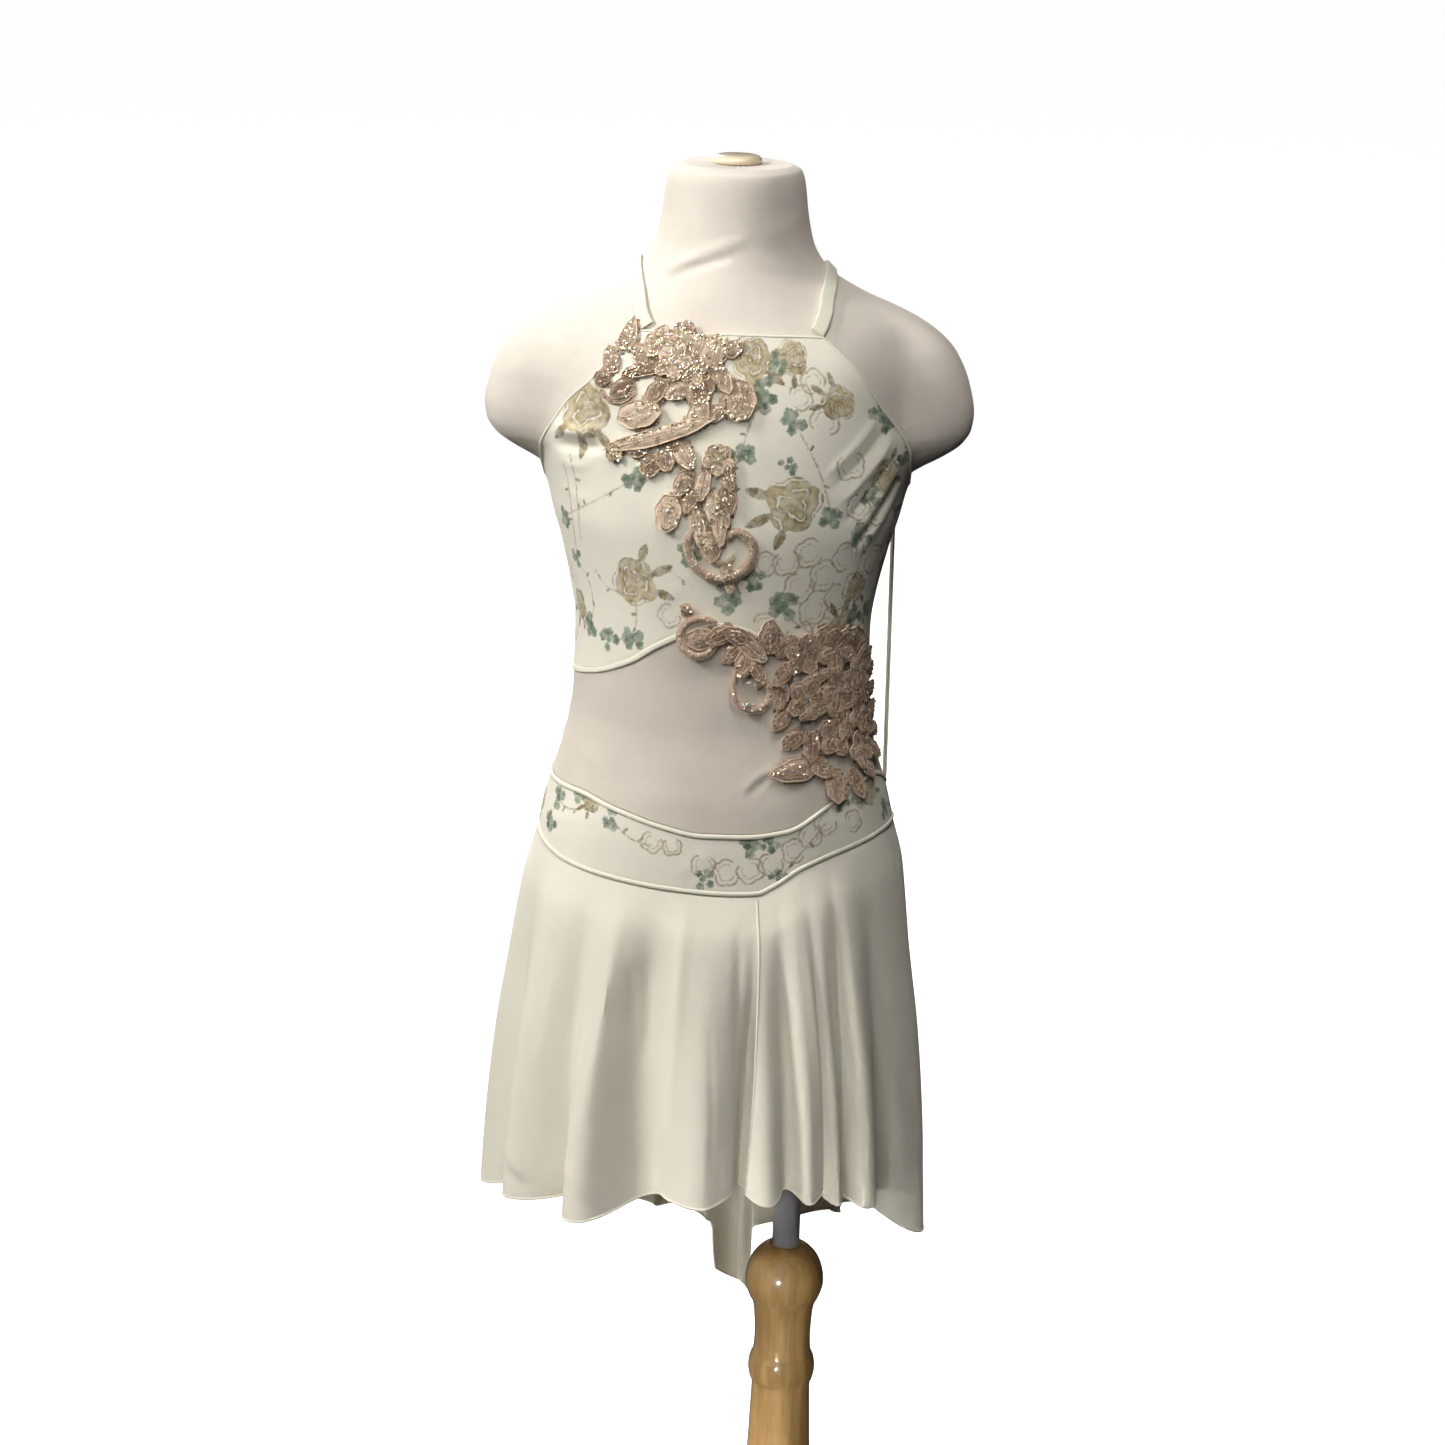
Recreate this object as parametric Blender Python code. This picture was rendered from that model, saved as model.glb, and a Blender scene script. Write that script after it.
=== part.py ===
"""Lyrical dance dress worn by a limbless child's dress form on a turned wooden stand.

The origin is the centre of the base's underside, on the stand's axis. The front faces -Y,
+Z is up and +X is the viewer's right. The form's own axis stands 60 mm to the viewer's
left of the pole. An angle is measured round the form's axis: 0 at the front, 90 at the
viewer's right, 180 at the back. Sizes in tables are millimetres and degrees.
"""

import math

import bmesh
import bpy
import numpy as np

MM = 0.001
GAP = 0.3
SEAM_GAP = 0.55
FORM_X = -60.0

# Dress form: level sections of neck, trunk and hips, and of the two shoulder stumps.
TRUNK_COLUMNS = ("height", "half_width", "front", "back")
TRUNK = np.array([
    (612, 92, 62, 68),
    (615, 104, 71, 78),
    (622, 113, 78, 86),
    (636, 120, 84, 92),
    (660, 125, 88, 96),
    (700, 125.5, 90, 96),
    (736, 122.5, 89, 90),
    (766, 116, 87, 83),
    (795, 107.5, 83, 77),
    (825, 101.5, 80, 73),
    (853, 100, 80, 72),
    (883, 99.5, 82, 73),
    (911, 103, 85, 77),
    (939, 109.5, 88, 82),
    (968, 117, 90, 86),
    (1003, 120, 89, 89),
    (1035, 122, 86, 91),
    (1065, 124, 80, 88),
    (1086, 121, 74, 83),
    (1096, 116, 70, 78),
    (1106, 104, 66, 72),
    (1117, 84, 62, 66),
    (1127, 67.6, 58, 61),
    (1138, 57.7, 54, 56),
    (1148, 52.5, 51, 53),
    (1168, 48.2, 48.5, 50),
    (1188, 45.6, 46, 47),
    (1196, 43, 43.5, 44.5),
    (1200, 36, 36.5, 37.5),
], dtype=float)
STUMP_COLUMNS = ("height", "reach", "half_depth")
STUMP = np.array([
    (612, 1, 1),
    (940, 40, 4),
    (976, 88, 10),
    (988, 110, 20),
    (997, 129, 29),
    (1006, 147, 36),
    (1015, 159.5, 41),
    (1024, 165, 43),
    (1035, 166.5, 44),
    (1055, 162.5, 44),
    (1076, 152.5, 41),
    (1086, 143, 37),
    (1096, 128, 32),
    (1106, 104, 26),
    (1117, 60, 18),
    (1138, 20, 8),
    (1200, 1, 1),
], dtype=float)
TRUNK_SQUARENESS = 2.3
NECK_BASE = 1125.0
STUMP_SQUARENESS = 3.4
STUMP_FILLET = 15.0
FORM_SIDES = 44

# Cloth walls: how far they lie off the form, and how thick they are.
CLOTH_LIFT = 1.0
CLOTH = 1.5
MESH_CLOTH = 1.0

# Where the bodice bridges a hollow: angle, height, spread of each, and the extra lift.
BODICE_EASE = (
    (71, 1014, 15, 27, 4.0),
    (88, 990, 16, 20, 1.2),
    (51, 1066, 14, 26, 1.9),
    (52, 962, 14, 20, 0.4),
    (70, 885, 60, 16, 0.15),
)
BAND_HEIGHT = 4.0
BAND_PROUD = 0.7
PIPING_HEIGHT = 3.5
PIPING_PROUD = 1.1
SEAM_STEP = 6.0

# The bodice and midriff wrap from the left back edge to the right back edge.
BODICE_START = -118.0
BODICE_END = 98.5

BODICE_TOP = np.array([
    (-118, 975), (-97, 978), (-86, 985), (-77, 1003), (-70, 1026), (-64, 1044), (-56, 1060),
    (-42, 1095), (0, 1095), (42, 1094), (50, 1079), (58, 1052), (70, 1021), (76, 1001),
    (85, 986), (98.5, 980),
], dtype=float)
BODICE_LOW = np.array([
    (-120, 846), (-84, 851), (-60, 859), (-42, 871), (-30, 884), (-18, 894), (0, 902),
    (18, 894), (36, 878), (54, 859), (78, 837), (102, 827),
], dtype=float)
BASQUE_TOP = np.array([
    (-180, 752), (-132, 755), (-90, 769), (-60, 770), (-42, 763), (-24, 755), (-6, 750),
    (12, 750), (30, 753.5), (48, 770), (60, 780), (72, 782), (90, 769), (102, 760),
    (132, 754), (180, 752),
], dtype=float)
SKIRT_SEAM = np.array([
    (-180, 722), (-132, 724), (-90, 732), (-72, 726), (-60, 721), (-36, 715), (-18, 712),
    (6, 710), (18, 710.5), (24, 715), (36, 728), (48, 736), (60, 741), (72, 744), (84, 744.5),
    (102, 737), (132, 727), (180, 722),
], dtype=float)

# Skirt: how far it flares with the drop below its seam, and its folds round the hem.
FLARE = np.array([
    (0, 0), (12, 3.5), (30, 9), (60, 14.5), (95, 20), (140, 27), (185, 32), (230, 35.5),
    (280, 38), (340, 41), (420, 44),
], dtype=float)
FLARE_EXTRA_FRONT = 0.45
FLARE_EXTRA_BACK = 0.3
FOLD_COLUMNS = ("angle", "reach", "start", "hem", "skew")
FOLDS = np.array([
    (-110, 24, 30, 436, 0.8),
    (-87, 26, 15, 462, 0.9),
    (-62, 25, 8, 477, 0.9),
    (-39, 29, 12, 478, 0.4),
    (-1, 25, 28, 499, 0.8),
    (18, 14, 5, 501, 0.5),
    (30, 12, 5, 499, 0.5),
    (39, 11, 5, 495, 0.3),
    (48, 19, 5, 489, -1.0),
    (74, 24, 10, 448, -0.8),
    (108, 23, 20, 430, 0.0),
    (124, 21, 25, 412, 0.0),
    (140, 21, 25, 392, 0.0),
    (155, 19, 30, 374, 0.0),
    (170, 18, 30, 366, 0.0),
    (189, 20, 30, 382, 0.0),
    (209, 22, 30, 394, 0.5),
    (230, 24, 30, 406, 0.8),
], dtype=float)
FOLD_GROWTH = 1.1
FOLD_FULL_DROP = 230.0
COLUMNS_PER_FOLD = 7
SKIRT_ROWS = 8
VALLEY_RISE = 7.0
TAIL_ANGLE = 170.5
TAIL_HALF_ANGLE = 4.6
TAIL_DROP = 46.0
TAIL_SLANT = 1.5

# Slit: the right front's edge stands plumb and laps over the left front.
SLIT_ANGLE = 18.0
SLIT_SWING = 5.0
SLIT_DEPTH = 210.0
UNDERLAP_ANGLE = 8.0
UNDERLAP_START = 32.0
UNDERLAP_LENGTH = 178.0
TUCK_DEPTH = 14.0
TUCK_LENGTH = 120.0
TUCK_ANGLE = 5.0
EDGE_REACH = 9.0
SKIRT_SIDE = 90.0

# Straps: rows of angle and height that the middle of each strap follows over the form.
STRAP_WIDTH = 10.0
STRAP_LIFT = 1.3
STRAP_STATIONS = 34
STRAP_OVER_STRAP = 2.4
STRAP_CROSSING_LENGTH = 34.0
SHOULDER_STRAP_RIGHT = np.array([
    (41.6, 1096.2), (58, 1119), (90, 1131), (122, 1121), (142, 1097), (165, 1062), (190, 1034),
    (218, 1002), (239.6, 978),
], dtype=float)
SHOULDER_STRAP_LEFT = np.array([
    (-41.6, 1097.2), (-58, 1119), (-90, 1131), (-122, 1121), (-142, 1097), (-165, 1062),
    (-190, 1034), (-222, 1002), (-259.2, 977),
], dtype=float)
# Side straps: angle at the underarm, angle at the basque, and the lift off the form there.
SIDE_STRAP_TOP = 967.0
SIDE_STRAP_RIGHT = (101.4, 97.4, 2.6)
SIDE_STRAP_LEFT = (-121.2, -121.2, 1.0)
SIDE_STRAP_STATIONS = 6

# Appliques: the left and right reach of each level row, across the front of the form.
UPPER_APPLIQUE = np.array([
    (920, 1, 11), (930, -12, 16), (944, -26, 22), (958, -33, 16), (976, -47, 9), (992, -52, 7),
    (1006, -62, -2), (1020, -79, -6), (1034, -78, 0), (1048, -84, 14), (1062, -87, 17),
    (1075, -86, 10), (1086, -80, -8), (1093, -76, -22),
], dtype=float)
LOWER_APPLIQUE = np.array([
    (775, 84, 96), (786, 40, 100), (800, 36, 103), (816, 40, 103), (832, 14, 99),
    (846, 4, 97), (860, -2, 94), (872, -8, 90), (882, -30, 78), (893, -32, 40), (903, -31, 18),
    (910, -28, -16),
], dtype=float)
APPLIQUE_ROWS = 20
APPLIQUE_COLUMNS = 11
APPLIQUE_BASE = 1.5
APPLIQUE_RELIEF = 2.2
PETAL_PITCH = 17.0
SCALLOP = 2.6
UPPER_APPLIQUE_LIFT = 2.95
LOWER_APPLIQUE_LIFT = 4.5
WIDEST_FRONT_ANGLE = 84.0

# Stand: chrome pole in a turned column on a round base, and the cap on the neck.
POLE_RADIUS = 10.0
POLE_SIDES = 24
SOCKET_CLEARANCE = 0.3
SOCKET_DEPTH = 30.0
TURNED_SIDES = 24
COLUMN_TOP = 415.0
COLUMN_PROFILE = np.array([
    (415, 12), (411, 19), (404, 24.5), (395, 27.7), (385, 28.5), (376, 26), (368, 22.4),
    (356, 21), (342, 20.5), (331, 21.3), (326, 23.4), (318, 24.5), (310, 23.2), (305, 21.5),
    (285, 22), (253, 23.2), (205, 25.5), (150, 28.5), (105, 30), (80, 28), (70, 25.5),
    (64, 29), (55, 33), (46, 33.5), (38, 30), (32, 31), (22.3, 36),
], dtype=float)
BASE_PROFILE = np.array([
    (22, 60), (20.5, 110), (17, 136), (12, 147), (7, 150), (2, 148.5), (0, 146),
], dtype=float)
CAP_PROFILE = np.array([
    (1206.2, 9), (1205.4, 14), (1203.6, 16.6), (1201.6, 17), (1200.3, 16.2),
], dtype=float)

TURN_STEP = math.radians(0.25)
RISE_STEP = 0.5
SHARP_ANGLE = math.radians(38)

# Materials: colour, roughness, metallic.
FINISHES = {
    "form_jersey": ((0.80, 0.74, 0.66), 0.92, 0.0),
    "print_lycra": ((0.78, 0.75, 0.62), 0.75, 0.0),
    "cream_jersey": ((0.82, 0.79, 0.69), 0.85, 0.0),
    "cream_binding": ((0.86, 0.83, 0.70), 0.7, 0.0),
    "nude_mesh": ((0.72, 0.65, 0.56), 0.8, 0.0),
    "rose_applique": ((0.60, 0.38, 0.28), 0.45, 0.3),
    "dark_applique": ((0.36, 0.21, 0.15), 0.45, 0.3),
    "chrome": ((0.75, 0.75, 0.78), 0.12, 1.0),
    "varnished_wood": ((0.45, 0.24, 0.08), 0.3, 0.0),
}


def clear_scene():
    """Remove the start-up objects."""
    for item in list(bpy.data.objects):
        bpy.data.objects.remove(item, do_unlink=True)


def make_materials():
    """One Principled material for each finish."""
    made = {}
    for name, (colour, roughness, metallic) in FINISHES.items():
        material = bpy.data.materials.new(name)
        material.use_nodes = True
        shader = material.node_tree.nodes["Principled BSDF"]
        shader.inputs["Base Color"].default_value = (*colour, 1.0)
        shader.inputs["Roughness"].default_value = roughness
        shader.inputs["Metallic"].default_value = metallic
        material.diffuse_color = (*colour, 1.0)
        made[name] = material
    return made


def add_object(name, points, faces, material):
    """A closed, smooth-shaded mesh object from points in millimetres."""
    mesh = bpy.data.meshes.new(name)
    mesh.from_pydata((np.asarray(points) * MM).tolist(), [], faces)
    work = bmesh.new()
    work.from_mesh(mesh)
    bmesh.ops.recalc_face_normals(work, faces=work.faces)
    work.to_mesh(mesh)
    work.free()
    mesh.materials.append(material)
    mesh.shade_smooth()
    mesh.set_sharp_from_angle(angle=SHARP_ANGLE)
    item = bpy.data.objects.new(name, mesh)
    bpy.context.scene.collection.objects.link(item)
    return item


def smooth_curve(known, value, at):
    """Monotone cubic through the points (known, value), read at the places in `at`."""
    step = np.diff(known)
    slope = np.diff(value) / step
    before, after = slope[:-1], slope[1:]
    total = np.where(np.abs(before + after) < 1e-9, 1.0, before + after)
    tangent = np.zeros(len(known))
    tangent[1:-1] = np.where(before * after > 0, 2 * before * after / total, 0.0)
    tangent[0], tangent[-1] = slope[0], slope[-1]
    at = np.clip(at, known[0], known[-1])
    low = np.clip(np.searchsorted(known, at) - 1, 0, len(step) - 1)
    part = (at - known[low]) / step[low]
    rest = 1 - part
    return (rest * rest * (1 + 2 * part) * value[low]
            + part * part * (3 - 2 * part) * value[low + 1]
            + part * rest * rest * step[low] * tangent[low]
            - part * part * rest * step[low] * tangent[low + 1])


def column_of(table, names, wanted, at):
    """A named column of a table, read as a smooth curve over the table's first column."""
    return smooth_curve(table[:, 0], table[:, names.index(wanted)], at)


def ease(part):
    """Smooth step from 0 to 1."""
    part = np.clip(part, 0.0, 1.0)
    return part * part * (3 - 2 * part)


def edge_height(table, angle):
    """Height of a cloth edge at an angle in radians, from rows of degrees and height."""
    degrees = np.degrees(angle)
    if table[0, 0] <= -180:
        degrees = (degrees + 180) % 360 - 180
    return smooth_curve(table[:, 0], table[:, 1], degrees)


def form_radius(angle, height):
    """Distance from the form's axis to its surface.

    The trunk is a squared ellipse that turns round at the neck, and each shoulder stump is
    a flat, blunt one across it. The larger one wins, with a fillet where they meet.
    """
    across, along = np.abs(np.sin(angle)), np.cos(angle)
    half = column_of(TRUNK, TRUNK_COLUMNS, "half_width", height)
    front = column_of(TRUNK, TRUNK_COLUMNS, "front", height)
    back = column_of(TRUNK, TRUNK_COLUMNS, "back", height)
    depth = np.where(along > 0, front, back)
    power = 2 + (TRUNK_SQUARENESS - 2) * ease((NECK_BASE - height) / 60)
    trunk = ((across / half) ** power + (np.abs(along) / depth) ** power) ** (-1 / power)
    reach = column_of(STUMP, STUMP_COLUMNS, "reach", height)
    thin = column_of(STUMP, STUMP_COLUMNS, "half_depth", height)
    blunt = STUMP_SQUARENESS
    stump = ((across / reach) ** blunt + (np.abs(along) / thin) ** blunt) ** (-1 / blunt)
    return 0.5 * (trunk + stump + np.hypot(trunk - stump, STUMP_FILLET))


def form_plan(angle, height):
    """Level place of the form's surface at an angle and a height."""
    radius = form_radius(angle, height)
    return FORM_X + radius * np.sin(angle), -radius * np.cos(angle)


def fold_wave(angle):
    """How far the skirt sinks from its ridges, from 0 on a ridge to 1 in a valley.

    The phase runs 2 pi from ridge to ridge. It is skewed by each fold's own amount, so that
    the valley after it lies nearer to the next ridge, or nearer to its own where that is
    less than 0.
    """
    degrees = np.degrees(angle)
    ridges = np.append(FOLDS[:, 0], FOLDS[0, 0] + 360)
    turned = (degrees - ridges[0]) % 360 + ridges[0]
    place = np.interp(turned, ridges, np.arange(len(ridges)))
    fold = np.minimum(place.astype(int), len(FOLDS) - 1)
    skew = FOLDS[fold, FOLD_COLUMNS.index("skew")]
    return 0.5 - 0.5 * np.cos(2 * math.pi * place - skew * np.sin(math.pi * place) ** 2)


def fold_value(wanted, angle):
    """A column of the fold table, blended smoothly from ridge to ridge."""
    column = FOLD_COLUMNS.index(wanted)
    ridges = np.append(FOLDS[:, 0], FOLDS[0, 0] + 360)
    values = np.append(FOLDS[:, column], FOLDS[0, column])
    turned = (np.degrees(angle) - ridges[0]) % 360 + ridges[0]
    low = np.clip(np.searchsorted(ridges, turned, side="right") - 1, 0, len(FOLDS) - 1)
    part = ease((turned - ridges[low]) / (ridges[low + 1] - ridges[low]))
    return values[low] + part * (values[low + 1] - values[low])


def seam_height(angle):
    """Height of the seam between basque and skirt."""
    return edge_height(SKIRT_SEAM, angle)


def hem_height(angle):
    """Height of the skirt's hem, with the pointed tail that hangs at the centre back."""
    height = fold_value("hem", angle) + VALLEY_RISE * fold_wave(angle)
    away = (np.degrees(angle) % 360 - TAIL_ANGLE) / TAIL_HALF_ANGLE
    inside = ease((1.35 - np.abs(away)) / 0.35)
    return height - inside * (TAIL_DROP - TAIL_SLANT * TAIL_HALF_ANGLE * away)


def skirt_plan(angle, height):
    """Level place of the skirt's inner face: the form at the seam, flared, less the folds."""
    seam = seam_height(angle)
    drop = np.clip(seam - height, 0, None)
    flare = smooth_curve(FLARE[:, 0], FLARE[:, 1], drop)
    facing = np.cos(angle)
    extra = np.where(facing > 0, FLARE_EXTRA_FRONT, FLARE_EXTRA_BACK) * facing ** 2
    start = fold_value("start", angle)
    growth = np.clip((drop - start) / (FOLD_FULL_DROP - start), 0, 1.4) ** FOLD_GROWTH
    depth = fold_value("reach", angle) * growth * fold_wave(angle)
    radius = form_radius(angle, seam) + flare * (1 + extra) - depth
    return FORM_X + radius * np.sin(angle), -radius * np.cos(angle)


def slit_angle(height):
    """Angle in degrees of the right front's free edge, which stands plumb."""
    drop = seam_height(np.radians(SLIT_ANGLE)) - height
    return SLIT_ANGLE - SLIT_SWING * np.clip(drop / SLIT_DEPTH, 0, 1.1)


def tucked_plan(angle, height):
    """The skirt's inner face where the left front sinks behind the right front's edge."""
    x, y = skirt_plan(angle, height)
    drop = seam_height(np.radians(SLIT_ANGLE)) - height
    sink = TUCK_DEPTH * ease((drop - 10) / TUCK_LENGTH)
    near = ease((np.degrees(angle) - (slit_angle(height) - TUCK_ANGLE - 1)) / TUCK_ANGLE)
    return x - sink * near * np.sin(angle), y + sink * near * np.cos(angle)


def lifted(plan, angle, height, lift):
    """Points of a level plan curve, moved out square to it by `lift`, at their heights."""
    x, y = plan(angle, height)
    x_next, y_next = plan(angle + TURN_STEP, height)
    x_last, y_last = plan(angle - TURN_STEP, height)
    along_x, along_y = x_next - x_last, y_next - y_last
    length = np.hypot(along_x, along_y)
    return np.stack([x + lift * along_y / length, y - lift * along_x / length,
                     height + 0 * x], axis=-1)


def wall_faces(rows, columns, closed):
    """Faces of a wall: outer grid, inner grid, and the rims between them."""
    count = rows * columns
    spans = columns if closed else columns - 1
    faces = []
    for row in range(rows - 1):
        for span in range(spans):
            a, b = row * columns + span, row * columns + (span + 1) % columns
            c, d = b + columns, a + columns
            faces.append((a, b, c, d))
            faces.append((a + count, d + count, c + count, b + count))
    for span in range(spans):
        a, b = span, (span + 1) % columns
        faces.append((a, a + count, b + count, b))
        a, b = a + (rows - 1) * columns, b + (rows - 1) * columns
        faces.append((a, b, b + count, a + count))
    if not closed:
        for row in range(rows - 1):
            a, d = row * columns, (row + 1) * columns
            faces.append((a, d, d + count, a + count))
            a, d = a + columns - 1, d + columns - 1
            faces.append((a, a + count, d + count, d))
    return faces


def cloth_wall(name, material, outer, inner, closed=False):
    """A closed wall between two grids of points of the same shape."""
    rows, columns = outer.shape[:2]
    points = np.concatenate([outer.reshape(-1, 3), inner.reshape(-1, 3)])
    return add_object(name, points, wall_faces(rows, columns, closed), material)


def grid_between(angles, low, high, rows):
    """Angle and height grids between two edges given as heights at each angle."""
    part = np.linspace(0, 1, rows)[:, None]
    height = low + part * (high - low)
    return np.broadcast_to(angles, height.shape), height


def seam_angles(start, end):
    """Angles in radians from start to end in degrees, by way of the common seam steps."""
    steps = np.arange(-180, 360, SEAM_STEP)
    inside = steps[(steps > start + 1) & (steps < end - 1)]
    return np.radians(np.concatenate([[start], inside, [end]]))


def bodice_ease(angle, height):
    """How much more the cloth stands off the form where it bridges a hollow."""
    side = np.abs((np.degrees(angle) + 180) % 360 - 180)
    total = 0 * side * height
    for middle, level, turn, rise, lift in BODICE_EASE:
        total = total + lift * np.exp(-((side - middle) / turn) ** 2 - ((height - level) / rise) ** 2)
    return total


def body_panel(name, material, angles, low, high, rows, thickness, closed=False):
    """A cloth wall that lies on the form between two edges."""
    angle, height = grid_between(angles, low, high, rows)
    lift = CLOTH_LIFT + bodice_ease(angle, height)
    inner = lifted(form_plan, angle, height, lift)
    outer = lifted(form_plan, angle, height, lift + thickness)
    return cloth_wall(name, material, outer, inner, closed)


def build_form(materials):
    """The covered form: neck, shoulders with stumps, trunk and a plain rounded bottom."""
    angles = np.linspace(0, 2 * math.pi, FORM_SIDES, endpoint=False)
    heights = np.concatenate([
        [612, 615, 622, 636], np.linspace(660, 940, 14), np.linspace(958, 1054, 13),
        np.linspace(1070, 1142, 9), [1160, 1180, 1192, 1198, 1200]])
    x, y = form_plan(angles[None, :], heights[:, None])
    points = np.stack([x, y, heights[:, None] + 0 * x], axis=-1).reshape(-1, 3)
    rows, sides = len(heights), FORM_SIDES
    faces = []
    for row in range(rows - 1):
        for side in range(sides):
            a, b = row * sides + side, row * sides + (side + 1) % sides
            faces.append((a, b, b + sides, a + sides))
    faces.append(tuple(range(sides)))
    faces.append(tuple(range((rows - 1) * sides, rows * sides)))
    add_object("form_torso", points, faces, materials["form_jersey"])


def build_turned(name, profile, material, bore=None):
    """A turned piece on the given profile of height and radius, with an optional blind bore."""
    centre_x = FORM_X if name == "neck_cap" else 0.0
    rings = [tuple(row) for row in profile]
    if bore is not None:
        radius, depth = bore
        rings = [(profile[0, 0] - depth, radius), (profile[0, 0], radius)] + rings
    turn = np.linspace(0, 2 * math.pi, TURNED_SIDES, endpoint=False)
    points, faces = [], []
    for height, radius in rings:
        points += [(centre_x + radius * math.sin(a), -radius * math.cos(a), height) for a in turn]
    for ring in range(len(rings) - 1):
        for side in range(TURNED_SIDES):
            a = ring * TURNED_SIDES + side
            b = ring * TURNED_SIDES + (side + 1) % TURNED_SIDES
            faces.append((a, a + TURNED_SIDES, b + TURNED_SIDES, b))
    faces.append(tuple(range(TURNED_SIDES)))
    faces.append(tuple(range((len(rings) - 1) * TURNED_SIDES, len(rings) * TURNED_SIDES)))
    add_object(name, points, faces, material)


def build_stand(materials):
    """Base disc, turned column with the pole's socket, pole and neck cap."""
    wood = materials["varnished_wood"]
    build_turned("base_disc", BASE_PROFILE, wood)
    build_turned("stand_column", COLUMN_PROFILE, wood,
                 bore=(POLE_RADIUS + SOCKET_CLEARANCE, SOCKET_DEPTH))
    build_turned("neck_cap", CAP_PROFILE, wood)
    foot = COLUMN_TOP - SOCKET_DEPTH + GAP
    head = TRUNK[0, 0] - GAP
    bpy.ops.mesh.primitive_cylinder_add(
        vertices=POLE_SIDES, radius=POLE_RADIUS * MM, depth=(head - foot) * MM,
        location=(0, 0, (head + foot) / 2 * MM))
    pole = bpy.context.object
    pole.name = "pole"
    pole.data.materials.append(materials["chrome"])
    pole.data.shade_smooth()
    pole.data.set_sharp_from_angle(angle=SHARP_ANGLE)


def build_bodice(materials):
    """Bodice front, the band along its lower edge, and the mesh midriff below it."""
    angles = seam_angles(BODICE_START, BODICE_END)
    top = edge_height(BODICE_TOP, angles)
    low = edge_height(BODICE_LOW, angles)
    body_panel("bodice_front", materials["print_lycra"], angles, low, top, 12, CLOTH)
    band_top = low - GAP
    band_low = band_top - BAND_HEIGHT
    body_panel("bodice_hem_band", materials["cream_binding"], angles, band_low, band_top, 2,
               CLOTH + BAND_PROUD)
    waist = edge_height(BASQUE_TOP, angles) + GAP + PIPING_HEIGHT + SEAM_GAP
    body_panel("midriff_mesh", materials["nude_mesh"], angles, waist, band_low - SEAM_GAP, 5,
               MESH_CLOTH)


def build_basque(materials):
    """Basque front and back, and the pipings along their upper and lower edges."""
    around = np.radians(np.arange(-180, 180, SEAM_STEP))
    seam = seam_height(around)
    top = edge_height(BASQUE_TOP, around)
    binding = materials["cream_binding"]
    body_panel("basque_bottom_piping", binding, around, seam, seam + PIPING_HEIGHT, 2,
               CLOTH + PIPING_PROUD, closed=True)
    body_panel("basque_top_piping", binding, around, top + GAP, top + GAP + PIPING_HEIGHT, 2,
               CLOTH + PIPING_PROUD, closed=True)
    gap_angle = math.degrees(GAP / 2 / 120)
    panels = (("basque_front", -SKIRT_SIDE, SKIRT_SIDE),
              ("basque_back", SKIRT_SIDE, 360 - SKIRT_SIDE))
    for name, start, end in panels:
        angles = seam_angles(start + gap_angle, end - gap_angle)
        low = seam_height(angles) + PIPING_HEIGHT + GAP
        body_panel(name, materials["print_lycra"], angles, low, edge_height(BASQUE_TOP, angles),
                   3, CLOTH)


def fold_angles(start, end):
    """Angles in degrees between start and end: the same share of each fold's width."""
    ridges = np.concatenate([FOLDS[:, 0], FOLDS[:, 0] + 360, [FOLDS[0, 0] + 720]])
    index = np.arange(0, len(ridges) - 1, 1 / COLUMNS_PER_FOLD)
    every = np.interp(index, np.arange(len(ridges)), ridges)
    margin = 1.2
    inside = every[(every > start + margin) & (every < end - margin)]
    return np.concatenate([[start], inside, [end]])


def skirt_panel(name, material, columns, plan, edge_low=None, edge_high=None):
    """A skirt panel from its seam to the hem, on columns of angle in degrees.

    A free edge may lean with height. The columns within EDGE_REACH of it lean along with
    it, and three rounds settle the levels, because the hem follows the leaning columns.
    """
    angles = np.radians(columns)
    part = np.linspace(0, 1, SKIRT_ROWS)[:, None]
    top = seam_height(angles) - SEAM_GAP
    angle = np.broadcast_to(angles, (SKIRT_ROWS, len(columns))).copy()
    for _ in range(3):
        level = top + part * (hem_height(angle) - top)
        if edge_low is not None:
            near = ease(1 - (columns - columns[0]) / EDGE_REACH)
            angle = np.radians(columns + near * (edge_low(level) - columns[0]))
        if edge_high is not None:
            near = ease(1 - (columns[-1] - columns) / EDGE_REACH)
            angle = np.radians(columns + near * (edge_high(level) - columns[-1]))
        top = seam_height(angle[0]) - SEAM_GAP
    inner = lifted(plan, angle, level, CLOTH_LIFT)
    outer = lifted(plan, angle, level, CLOTH_LIFT + CLOTH)
    cloth_wall(name, material, outer, inner)


def left_front_edge(level):
    """Angle in degrees of the left front's edge: it runs on behind the right front."""
    drop = seam_height(np.radians(SLIT_ANGLE)) - level
    lap = UNDERLAP_ANGLE * ease((drop - UNDERLAP_START) / UNDERLAP_LENGTH)
    return slit_angle(level) - math.degrees(GAP / 95) + lap


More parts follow.
